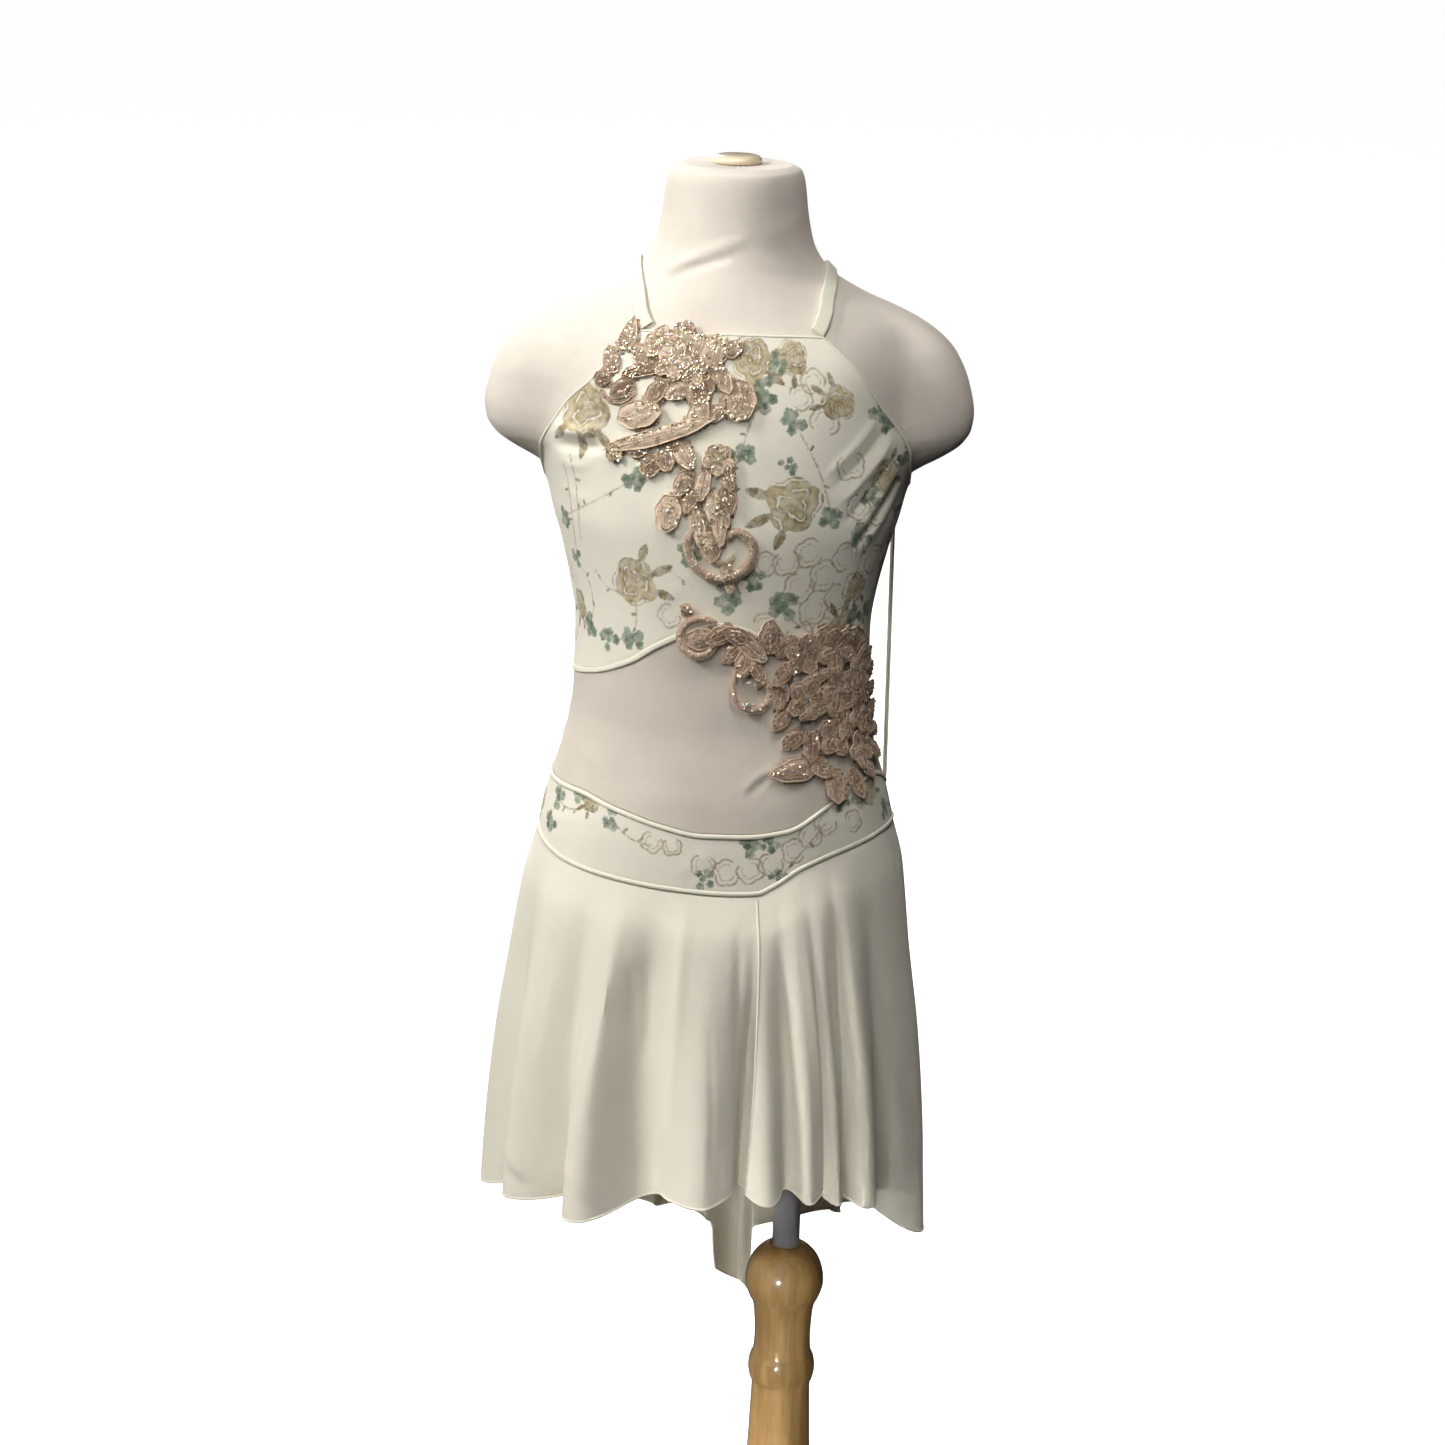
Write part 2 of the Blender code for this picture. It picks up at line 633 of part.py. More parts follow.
def build_skirt(materials):
    """Left front, right front with its free edge, and the longer back with the tail."""
    cream = materials["cream_jersey"]
    gap_angle = math.degrees(GAP / 2 / 120)
    left = fold_angles(-SKIRT_SIDE + gap_angle, SLIT_ANGLE - math.degrees(GAP / 95))
    skirt_panel("skirt_front_left", cream, left, tucked_plan, edge_high=left_front_edge)
    right = fold_angles(SLIT_ANGLE, SKIRT_SIDE - gap_angle)
    skirt_panel("skirt_front_right", cream, right, skirt_plan, edge_low=slit_angle)
    back = fold_angles(SKIRT_SIDE + gap_angle, 360 - SKIRT_SIDE - gap_angle)
    tail = TAIL_ANGLE + TAIL_HALF_ANGLE * np.array([-1.35, -1.18, -1.0, 0.0, 1.0, 1.18, 1.35])
    apart = np.min(np.abs(back[:, None] - tail[None, :]), axis=1)
    back = np.sort(np.concatenate([back[apart > 0.7], tail]))
    skirt_panel("skirt_back", cream, back, skirt_plan)


def form_point(angle, height):
    """Point of the form's surface as an array of x, y, z."""
    x, y = form_plan(angle, height)
    return np.stack([x, y, height + 0 * x], axis=-1)


def unit(vectors):
    """The vectors at length 1."""
    return vectors / np.linalg.norm(vectors, axis=-1, keepdims=True)


def form_normal(angle, height):
    """Outward direction of the form's surface."""
    along = form_point(angle + TURN_STEP, height) - form_point(angle - TURN_STEP, height)
    up = form_point(angle, height + RISE_STEP) - form_point(angle, height - RISE_STEP)
    return unit(np.cross(along, up))


def strap_body(name, material, centre, outward, half_width):
    """A flat strap: a four-cornered section carried along its middle line."""
    along = unit(np.gradient(centre, axis=0))
    side = unit(np.cross(along, outward))
    face = np.cross(side, along)
    corners = [(-half_width, 0), (half_width, 0), (half_width, CLOTH), (-half_width, CLOTH)]
    points = np.stack([centre + across * side + out * face for across, out in corners], axis=1)
    count = len(centre)
    faces = []
    for station in range(count - 1):
        for corner in range(4):
            a, b = station * 4 + corner, station * 4 + (corner + 1) % 4
            faces.append((a, b, b + 4, a + 4))
    faces.append((0, 1, 2, 3))
    faces.append(tuple(range((count - 1) * 4, count * 4)))
    add_object(name, points.reshape(-1, 3), faces, material)


def shoulder_strap(name, material, route, over):
    """A strap over one shoulder to the far back edge; `over` lifts it where the two cross."""
    known = np.arange(len(route), dtype=float)
    at = np.linspace(0, len(route) - 1, STRAP_STATIONS)
    angle = np.radians(smooth_curve(known, route[:, 0], at))
    height = smooth_curve(known, route[:, 1], at)
    surface = form_point(angle, height)
    outward = form_normal(angle, height)
    crossing = np.array([FORM_X, form_plan(np.pi, route[5, 1])[1], 1046.0])
    near = np.linalg.norm(surface - crossing, axis=1) / STRAP_CROSSING_LENGTH
    lift = STRAP_LIFT + over * ease(2.0 - near)
    strap_body(name, material, surface + lift[:, None] * outward, outward, STRAP_WIDTH / 2)


def side_strap(name, material, sizes):
    """A strap drawn straight from the underarm down to the basque, clear of the waist."""
    top_angle, low_angle = np.radians(sizes[:2])
    low_lift = sizes[2]
    foot = low_angle + np.array([-1, 0, 1]) * STRAP_WIDTH / 2 / form_radius(low_angle, 760.0)
    low = float(np.max(edge_height(BASQUE_TOP, foot))) + GAP + PIPING_HEIGHT + SEAM_GAP
    ends = []
    for angle, height, lift in ((top_angle, SIDE_STRAP_TOP, CLOTH_LIFT), (low_angle, low, low_lift)):
        ends.append(lifted(form_plan, np.array([angle]), np.array([height]), lift)[0])
    part = np.linspace(0, 1, SIDE_STRAP_STATIONS)[:, None]
    centre = ends[0] + part * (ends[1] - ends[0])
    middle = (top_angle + low_angle) / 2
    outward = np.array([[math.sin(middle), -math.cos(middle), 0.0]]) + 0 * centre
    strap_body(name, material, centre, outward, STRAP_WIDTH / 2)


def build_straps(materials):
    """Two shoulder straps that cross on the back, and the two side straps."""
    binding = materials["cream_binding"]
    shoulder_strap("shoulder_strap_right", binding, SHOULDER_STRAP_RIGHT, 0.0)
    shoulder_strap("shoulder_strap_left", binding, SHOULDER_STRAP_LEFT, STRAP_OVER_STRAP)
    side_strap("side_strap_right", binding, SIDE_STRAP_RIGHT)
    side_strap("side_strap_left", binding, SIDE_STRAP_LEFT)


def front_angle(across, height):
    """Angle at which the form's front surface is `across` from its axis, by halving."""
    low = np.full(np.shape(across), -math.radians(WIDEST_FRONT_ANGLE))
    high = -low
    for _ in range(30):
        middle = (low + high) / 2
        short = form_radius(middle, height) * np.sin(middle) < across
        low = np.where(short, middle, low)
        high = np.where(short, high, middle)
    return (low + high) / 2


def build_applique(name, material, outline, lift):
    """A corded flower applique: scalloped edges, plain back, and petals raised on its face."""
    part = np.linspace(0, 1, APPLIQUE_ROWS)
    height = outline[0, 0] + part * (outline[-1, 0] - outline[0, 0])
    wave = np.abs(np.sin(math.pi * height / PETAL_PITCH))
    left = smooth_curve(outline[:, 0], outline[:, 1], height) - SCALLOP * (wave - 0.6)
    right = smooth_curve(outline[:, 0], outline[:, 2], height) + SCALLOP * (wave - 0.6)
    share = np.linspace(0, 1, APPLIQUE_COLUMNS)
    across = left[:, None] + share * (right - left)[:, None]
    level = np.broadcast_to(height[:, None], across.shape)
    angle = front_angle(across, level)
    slant = PETAL_PITCH * 0.5
    petals = np.cos(math.pi * (across + slant) / PETAL_PITCH) * np.cos(math.pi * level / PETAL_PITCH)
    rim = np.minimum(share, 1 - share) * APPLIQUE_COLUMNS
    ends = np.minimum(part, 1 - part)[:, None] * APPLIQUE_ROWS
    crown = ease(np.minimum(rim, ends) / 1.5)
    raised = APPLIQUE_BASE + APPLIQUE_RELIEF * np.abs(petals) * crown
    base = lift + bodice_ease(angle, level)
    inner = lifted(form_plan, angle, level, base)
    outer = lifted(form_plan, angle, level, base + raised)
    cloth_wall(name, material, outer, inner)


def build_appliques(materials):
    """The upper applique on the bodice and the lower one across the midriff."""
    build_applique("applique_upper", materials["rose_applique"], UPPER_APPLIQUE,
                   UPPER_APPLIQUE_LIFT)
    build_applique("applique_lower", materials["dark_applique"], LOWER_APPLIQUE,
                   LOWER_APPLIQUE_LIFT)


def main():
    """Build every piece."""
    clear_scene()
    materials = make_materials()
    build_form(materials)
    build_stand(materials)
    build_bodice(materials)
    build_basque(materials)
    build_skirt(materials)
    build_straps(materials)
    build_appliques(materials)


main()
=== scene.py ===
"""Looks of a lyrical dance dress worn by a limbless child's dress form on a turned stand.

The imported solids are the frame. Each piece made here lies on the form of the solid that it
stands for, worked out again from the same sizes. Sizes are millimetres and degrees, and
become metres as a mesh is written. An angle is measured round the form's axis: 0 at the
front, 90 at the viewer's right, 180 at the back. Places on the cloth are given as the way
round it from the centre front, in millimetres at chest height, and the height.
"""

import logging
import math
from collections.abc import Callable, Sequence
from dataclasses import dataclass, field
from enum import Enum

import bmesh
import bpy
import numpy as np
from mathutils import Matrix, Vector
from numpy.typing import NDArray


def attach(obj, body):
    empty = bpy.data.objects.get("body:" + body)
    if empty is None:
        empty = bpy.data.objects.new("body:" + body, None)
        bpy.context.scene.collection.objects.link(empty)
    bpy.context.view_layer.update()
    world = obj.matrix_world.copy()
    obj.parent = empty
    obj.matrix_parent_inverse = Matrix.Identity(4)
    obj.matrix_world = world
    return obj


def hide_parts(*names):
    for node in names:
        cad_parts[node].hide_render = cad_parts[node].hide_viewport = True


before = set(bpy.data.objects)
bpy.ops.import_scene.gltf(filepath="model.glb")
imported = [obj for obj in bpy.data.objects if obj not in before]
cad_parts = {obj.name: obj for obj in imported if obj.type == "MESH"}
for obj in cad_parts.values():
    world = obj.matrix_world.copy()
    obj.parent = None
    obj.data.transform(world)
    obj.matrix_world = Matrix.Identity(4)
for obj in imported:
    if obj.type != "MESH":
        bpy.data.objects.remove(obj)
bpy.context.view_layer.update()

Array = NDArray[np.float64]
Corners = NDArray[np.int64]
Numbers = Array | float
Values = dict[str, Array]
Socket = bpy.types.NodeSocket
Plan = Callable[[Array, Array], tuple[Array, Array]]
Edge = Callable[[Array], Array]
Line = tuple[Array, Array]
Colour = tuple[float, float, float]
Point = tuple[float, float, float]
Place = tuple[float, float]
Row = tuple[float, ...]

LOG = logging.getLogger("dress")
MM = 0.001
BODY = "root"
FORM_X = -60.0
TURN_STEP = math.radians(0.25)
RISE_STEP = 0.5
CHEST_GIRTH = 678.4
CLOTH_LIFT = 1.0
CLOTH = 1.5
MESH_CLOTH = 1.0
GAP = 0.3
SEAM_GAP = 0.55
BAND_HEIGHT = 4.0
PIPING_HEIGHT = 3.5
SKIRT_SIDE = 90.0
SIDE_STEP = math.degrees(GAP / 2 / 120)
SLIT_STEP = math.degrees(GAP / 95)
SKIRT_WAY = 2.4
STRETCH_CUT = 0.95
WIDEST_STRAP = 0.05
ROUND_EDGE = 60.0


class Slot(Enum):
    """The record's material slots."""

    WOOD = "varnished_wood"
    CHROME = "chrome"
    FORM = "form_jersey"
    PRINT = "print_lycra"
    BINDING = "cream_binding"
    MESH = "nude_mesh"
    JERSEY = "cream_jersey"
    ROSE = "rose_applique"
    DARK = "dark_applique"


class Held(Enum):
    """How a sheet of cloth is held."""

    STRETCHED = "stretched"
    HUNG = "hung"


def ease(part: Numbers) -> Array:
    """Smooth step: 3 t squared less 2 t cubed, with t kept from 0 to 1."""
    part = np.clip(part, 0.0, 1.0)
    return part * part * (3 - 2 * part)


def smooth_curve(known: Array, value: Array, at: Array) -> Array:
    """Monotone cubic through rows of a table.

    Between two rows it is a Hermite cubic. The slope at a row is the harmonic mean of the
    slopes on its two sides, or nought where they differ in sign.

    Args:
        known: Rising places of the rows.
        value: The value at each row.
        at: Places to read.

    Returns:
        The curve's value at each place.
    """
    step = np.diff(known)
    slope = np.diff(value) / step
    before, after = slope[:-1], slope[1:]
    total = np.where(np.abs(before + after) < 1e-9, 1.0, before + after)
    tangent = np.zeros(len(known))
    tangent[1:-1] = np.where(before * after > 0, 2 * before * after / total, 0.0)
    tangent[0], tangent[-1] = slope[0], slope[-1]
    at = np.clip(at, known[0], known[-1])
    low = np.clip(np.searchsorted(known, at) - 1, 0, len(step) - 1)
    part = (at - known[low]) / step[low]
    rest = 1 - part
    return (rest * rest * (1 + 2 * part) * value[low]
            + part * part * (3 - 2 * part) * value[low + 1]
            + part * rest * rest * step[low] * tangent[low]
            - part * part * rest * step[low] * tangent[low + 1])


def unit(vectors: Array) -> Array:
    """The vectors at length 1."""
    return vectors / np.maximum(np.linalg.norm(vectors, axis=-1, keepdims=True), 1e-12)


def way_along(points: Array, axis: int = 0) -> Array:
    """Length along one axis of a row or grid of points, up to each of them."""
    way = np.cumsum(np.linalg.norm(np.diff(points, axis=axis), axis=-1), axis=axis)
    return np.insert(way, 0, 0.0, axis=axis)


def half_turned(degrees: Array) -> Array:
    """Degrees brought between -180 and 180."""
    return (degrees + 180) % 360 - 180


def from_axis(radius: Array, angle: Array) -> tuple[Array, Array]:
    """Level place at a distance and an angle from the form's axis."""
    return FORM_X + radius * np.sin(angle), -radius * np.cos(angle)


@dataclass(frozen=True)
class Table:
    """Rows of numbers under named columns, read as smooth curves over the first column."""

    names: tuple[str, ...]
    rows: tuple[Row, ...]

    def column(self, name: str) -> Array:
        """A named column."""
        return np.array(self.rows, dtype=float)[:, self.names.index(name)]

    def read(self, name: str, at: Array) -> Array:
        """A named column, read at places along the first one."""
        return smooth_curve(self.column(self.names[0]), self.column(name), at)


def edge_table(*rows: Place) -> Table:
    """A cloth edge's table of angle and height."""
    return Table(("angle", "height"), rows)


TRUNK = Table(("height", "half_width", "front", "back"), (
    (612, 92, 62, 68), (615, 104, 71, 78), (622, 113, 78, 86), (636, 120, 84, 92),
    (660, 125, 88, 96), (700, 125.5, 90, 96), (736, 122.5, 89, 90), (766, 116, 87, 83),
    (795, 107.5, 83, 77), (825, 101.5, 80, 73), (853, 100, 80, 72), (883, 99.5, 82, 73),
    (911, 103, 85, 77), (939, 109.5, 88, 82), (968, 117, 90, 86), (1003, 120, 89, 89),
    (1035, 122, 86, 91), (1065, 124, 80, 88), (1086, 121, 74, 83), (1096, 116, 70, 78),
    (1106, 104, 66, 72), (1117, 84, 62, 66), (1127, 67.6, 58, 61), (1138, 57.7, 54, 56),
    (1148, 52.5, 51, 53), (1168, 48.2, 48.5, 50), (1188, 45.6, 46, 47), (1196, 43, 43.5, 44.5),
    (1200, 36, 36.5, 37.5)))
STUMP = Table(("height", "reach", "half_depth"), (
    (612, 1, 1), (940, 40, 4), (976, 88, 10), (988, 110, 20), (997, 129, 29), (1006, 147, 36),
    (1015, 159.5, 41), (1024, 165, 43), (1035, 166.5, 44), (1055, 162.5, 44), (1076, 152.5, 41),
    (1086, 143, 37), (1096, 128, 32), (1106, 104, 26), (1117, 60, 18), (1138, 20, 8),
    (1200, 1, 1)))


@dataclass(frozen=True)
class FormShape:
    """The dress form's surface: a trunk with a neck, and two shoulder stumps."""

    squareness: float = 2.3
    neck_base: float = 1125.0
    neck_turn: float = 60.0
    stump_squareness: float = 3.4
    fillet: float = 15.0
    chest: float = 985.0

    def radius(self, angle: Array, height: Array) -> Array:
        """Distance from the form's axis to its surface.

        The trunk's level section is a squared ellipse, |x/a|^p + |y/b|^p = 1, that turns
        round at the neck. Each stump is a blunter one across it. The larger of the two
        wins, as half their sum plus half the hypotenuse of their difference and the fillet.

        Args:
            angle: Angles in radians.
            height: Heights in mm.

        Returns:
            Radii in mm.
        """
        across, along = np.abs(np.sin(angle)), np.cos(angle)

        def oval(half_width: Array, half_depth: Array, power: Numbers) -> Array:
            """Radius of a squared ellipse."""
            return ((across / half_width) ** power
                    + (np.abs(along) / half_depth) ** power) ** (-1 / power)

        depth = np.where(along > 0, TRUNK.read("front", height), TRUNK.read("back", height))
        power = 2 + (self.squareness - 2) * ease((self.neck_base - height) / self.neck_turn)
        trunk = oval(TRUNK.read("half_width", height), depth, power)
        stump = oval(STUMP.read("reach", height), STUMP.read("half_depth", height),
                     self.stump_squareness)
        return 0.5 * (trunk + stump + np.hypot(trunk - stump, self.fillet))

    def plan(self, angle: Array, height: Array) -> tuple[Array, Array]:
        """Level place of the surface at an angle and a height."""
        return from_axis(self.radius(angle, height), angle)

    def point(self, angle: Array, height: Array) -> Array:
        """Point of the surface."""
        x, y = self.plan(angle, height)
        return np.stack([x, y, height + 0 * x], axis=-1)

    def normal(self, angle: Array, height: Array) -> Array:
        """Outward direction: the cross product of the ways round and up."""
        along = self.point(angle + TURN_STEP, height) - self.point(angle - TURN_STEP, height)
        up = self.point(angle, height + RISE_STEP) - self.point(angle, height - RISE_STEP)
        return unit(np.cross(along, up))

    def girth_table(self) -> tuple[Array, Array]:
        """Angles in degrees and the way round the chest to each, from the centre front."""
        degrees = np.linspace(-200, 200, 1601)
        x, y = self.plan(np.radians(degrees), np.full(degrees.shape, self.chest))
        way = np.concatenate([[0.0], np.cumsum(np.hypot(np.diff(x), np.diff(y)))])
        return degrees, way - np.interp(0.0, degrees, way)

    def way_round(self, angle: Array) -> Array:
        """Millimetres round the chest from the centre front to an angle in radians."""
        return np.interp(half_turned(np.degrees(angle)), *self.girth_table())

    def angle_at(self, way: Array) -> Array:
        """Angle in radians that lies so many millimetres round the chest."""
        degrees, known = self.girth_table()
        return np.radians(np.interp(way, known, degrees))

    def even_angles(self, start: float, end: float, count: int) -> Array:
        """Angles in radians from start to end in degrees, evenly spaced round the chest."""
        degrees, way = self.girth_table()
        ends = np.interp([start, end], degrees, way)
        return np.radians(np.interp(np.linspace(*ends, count), way, degrees))


SHAPE = FormShape()


def lifted(plan: Plan, angle: Array, height: Array, lift: Numbers) -> Array:
    """Points of a level plan curve, moved out square to it by a lift.

    Args:
        plan: What gives the curve's level places.
        angle: Angles in radians.
        height: Heights in mm.
        lift: Distance out from the curve.

    Returns:
        Points in mm.
    """
    x, y = plan(angle, height)
    x_next, y_next = plan(angle + TURN_STEP, height)
    x_last, y_last = plan(angle - TURN_STEP, height)
    along_x, along_y = x_next - x_last, y_next - y_last
    length = np.hypot(along_x, along_y)
    return np.stack([x + lift * along_y / length, y - lift * along_x / length,
                     height + 0 * x], axis=-1)


def grid_quads(rows: int, columns: int, wrap: bool = False) -> Corners:
    """Corner numbers of a grid's faces, row by row."""
    spans = columns if wrap else columns - 1
    row, column = np.meshgrid(np.arange(rows - 1), np.arange(spans), indexing="ij")
    a = row * columns + column
    b = row * columns + (column + 1) % columns
    return np.stack([a, b, b + columns, a + columns], axis=-1).reshape(-1, 4)


def grid_corners(uv: Array) -> Array:
    """A grid's texture places at each face's corners."""
    return np.stack([uv[:-1, :-1], uv[:-1, 1:], uv[1:, 1:], uv[1:, :-1]], axis=2).reshape(-1, 4, 2)


def end_fans(rows: int, sides: int) -> Corners:
    """Triangles that close a tube's ends, whose middle points come after all its rings."""
    here = np.arange(sides)
    there = (here + 1) % sides
    first = np.stack([there, here, np.full(sides, rows * sides)], axis=-1)
    last = np.stack([here, there, np.full(sides, sides + 1)], axis=-1) + (rows - 1) * sides
    return np.concatenate([first, last])


def rim_triangles(fine: Corners, coarse: Corners, stride: int) -> Corners:
    """Triangles that join a fine line of points to a coarser one."""
    step = np.arange(len(fine) - 1)
    near = np.stack([fine[:-1], fine[1:], coarse[step // stride]], axis=-1)
    ends = np.arange(1, len(coarse))
    far = np.stack([fine[ends * stride], coarse[ends], coarse[ends - 1]], axis=-1)
    return np.concatenate([near, far])


@dataclass
class MeshParts:
    """Points and faces gathered for one mesh, in mm, with texture places and values.

    Its extent is the greatest length across and up the last wall's face, in metres.
    """

    points: list[Array] = field(default_factory=list)
    faces: list[Corners] = field(default_factory=list)
    corners: list[Array] = field(default_factory=list)
    values: dict[str, list[Array]] = field(default_factory=dict)
    count: int = 0
    extent: Place = (0.0, 0.0)

    def add(self, points: Array, faces: Sequence[Corners], uv: Sequence[Array],
            values: Values | None = None) -> None:
        """Take one part in.

        Args:
            points: Points, in an array whose last axis is x, y, z.
            faces: Arrays of corner numbers, each of triangles or of four-sided faces.
            uv: For each of those arrays, the texture place at every corner.
            values: Named numbers at each point.
        """
        flat = points.reshape(-1, 3)
        self.points.append(flat)
        self.faces.extend(group + self.count for group in faces)
        self.corners.extend(uv)
        for name, value in (values or {}).items():
            self.values.setdefault(name, []).append(np.asarray(value, dtype=float).ravel())
        self.count += len(flat)

    def add_copies(self, shape: tuple[Array, Corners], middle: Array, axes: Array,
                   values: Values | None = None) -> None:
        """Take in many copies of a small shape.

        Args:
            shape: The shape's points, along three axes of its own, and its faces.
            middle: Where each copy's origin goes.
            axes: For each copy, three rows: its first, second and third axis, with lengths.
            values: One number for each copy under each name.
        """
        points, faces = shape
        size = len(points)
        placed = middle[:, None, :] + np.einsum("pk,nkj->npj", points, axes)
        every = (faces[None] + size * np.arange(len(middle))[:, None, None]).reshape(
            -1, faces.shape[1])
        spread = {name: np.repeat(value, size) for name, value in (values or {}).items()}
        self.add(placed, [every], [np.zeros((*every.shape, 2))], spread)

    def add_rings(self, rings: Array, uv: Array | None = None,
                  values: dict[str, Numbers] | None = None) -> None:
        """A closed body from rings of points, its two ends closed to a middle point.

        Args:
            rings: Grid of points, ring by ring.
            uv: Texture place at each, with one more column; none where it isn't used.
            values: Numbers that its points carry, the same for all or one for each.
        """
        rows, sides = rings.shape[:2]
        uv = np.zeros((rows, sides + 1, 2)) if uv is None else uv
        ends = np.stack([rings[0].mean(axis=0), rings[-1].mean(axis=0)])
        fans = np.stack([np.stack([uv[k, 1:], uv[k, :-1], 0.5 * (uv[k, 1:] + uv[k, :-1])], axis=1)
                         for k in (0, -1)])
        points = np.concatenate([rings.reshape(-1, 3), ends])
        spread = {name: np.append(np.broadcast_to(value, (rows, sides)), [np.mean(value)] * 2)
                  for name, value in (values or {}).items()}
        self.add(points, [grid_quads(rows, sides, wrap=True), end_fans(rows, sides)],
                 [grid_corners(uv), fans.reshape(-1, 3, 2)], spread)

    def add_shell(self, outer: Array, inner: Array, uv: Array, stride: int,
                  values: Values | None = None) -> None:
        """A closed wall of cloth: a fine face, a coarser back and the rims between them.

        Args:
            outer: Fine grid of the face, row by row.
            inner: The back, on every `stride`th row and column of the same grid.
            uv: Texture place at each fine grid point.
            stride: How much coarser the back is.
            values: Named numbers on the fine grid.
        """
        across, up = (float(np.linalg.norm(np.diff(outer, axis=axis), axis=2).sum(axis=axis).max())
                      for axis in (1, 0))
        self.extent = (across * MM, up * MM)
        rows, columns = outer.shape[:2]
        back_rows, back_columns = inner.shape[:2]
        start = rows * columns
        back = grid_quads(back_rows, back_columns)[:, ::-1] + start
        fine = np.arange(start).reshape(rows, columns)
        coarse = np.arange(back_rows * back_columns).reshape(back_rows, back_columns) + start
        lines = ((fine[0], coarse[0]), (fine[-1], coarse[-1]), (fine[:, 0], coarse[:, 0]),
                 (fine[:, -1], coarse[:, -1]))
        rims = np.concatenate([rim_triangles(a, b, stride) for a, b in lines])
        uv_back = uv[::stride, ::stride]
        at_point = np.concatenate([uv.reshape(-1, 2), uv_back.reshape(-1, 2)])
        both = {name: np.concatenate([value.ravel(), value[::stride, ::stride].ravel()])
                for name, value in (values or {}).items()}
        self.add(np.concatenate([outer.reshape(-1, 3), inner.reshape(-1, 3)]),
                 [grid_quads(rows, columns), back, rims],
                 [grid_corners(uv), grid_corners(uv_back)[:, ::-1], at_point[rims]], both)

    def add_tube(self, path: Array, outward: Array, radius: Numbers, sides: int = 8,
                 flat: float = 1.0, closed: bool = False, square: float = 1.0,
                 values: dict[str, float] | None = None) -> None:
        """A cord or band along a path: rings square to it, squashed along the outward way.

        Args:
            path: Points that the cord follows.
            outward: The outward direction at each.
            radius: Its radius, all along or at each point.
            sides: Number of sides.
            flat: Height of the section as a share of its width.
            closed: Whether it joins on to itself.
            square: Power on the circle's sine and cosine: less than 1 makes it boxier.
            values: Numbers that all its points carry.
        """
        count = len(path)
        along = unit(np.roll(path, -1, axis=0) - np.roll(path, 1, axis=0) if closed
                     else np.gradient(path, axis=0))
        side = unit(np.cross(along, outward))
        face = np.cross(side, along)
        turn = np.linspace(0, math.tau, sides, endpoint=False)
        width = np.broadcast_to(np.asarray(radius, dtype=float), (count,))[:, None, None]
        cosine, sine = (np.sign(c) * np.abs(c) ** square for c in (np.cos(turn), np.sin(turn)))
        ring = (cosine[None, :, None] * side[:, None, :]
                + flat * sine[None, :, None] * face[:, None, :])
        points = (path[:, None, :] + width * ring).reshape(-1, 3)
        way = way_along(np.concatenate([path, path[:1]]) if closed else path)
        around = np.arange(sides + 1) / sides * math.tau * float(np.mean(width))
        groups = [grid_quads(len(way), sides, wrap=True) % (count * sides)]
        corners = [grid_corners(np.stack(np.meshgrid(way, around, indexing="ij"), axis=-1))]
        if not closed:
            points = np.concatenate([points, path[[0, -1]]])
            groups.append(end_fans(count, sides))
            corners.append(np.zeros((2 * sides, 3, 2)))
        spread = {name: np.full(len(points), value) for name, value in (values or {}).items()}
        self.add(points, groups, corners, spread)

    def add_stitches(self, path: Array, outward: Array, pitch: float = 2.6, length: float = 1.9,
                     radius: float = 0.24) -> None:
        """A row of stitches: evenly spaced four-sided spindles that lie along a path.

        Args:
            path: Points that the row follows.
            outward: The outward direction at each.
            pitch: Distance from one stitch to the next.
            length: Length of a stitch.
            radius: Its radius.
        """
        way = way_along(path)
        at = np.arange(pitch, way[-1] - pitch / 2, pitch)
        middle, along, face = (np.stack([np.interp(at, way, column) for column in rows.T], axis=-1)
                               for rows in (path, np.gradient(path, axis=0), outward))
        along, face = unit(along), unit(face)
        side = unit(np.cross(face, along))
        points = np.array([(-length / 2, 0, 0), (length / 2, 0, 0), (0, radius, 0),
                           (0, 0, radius), (0, -radius, 0), (0, 0, -radius)])
        faces = np.array([(0, 2 + (n + 1) % 4, 2 + n) for n in range(4)]
                         + [(1, 2 + n, 2 + (n + 1) % 4) for n in range(4)])
        self.add_copies((points, faces), middle, np.stack([along, side, face], axis=1))

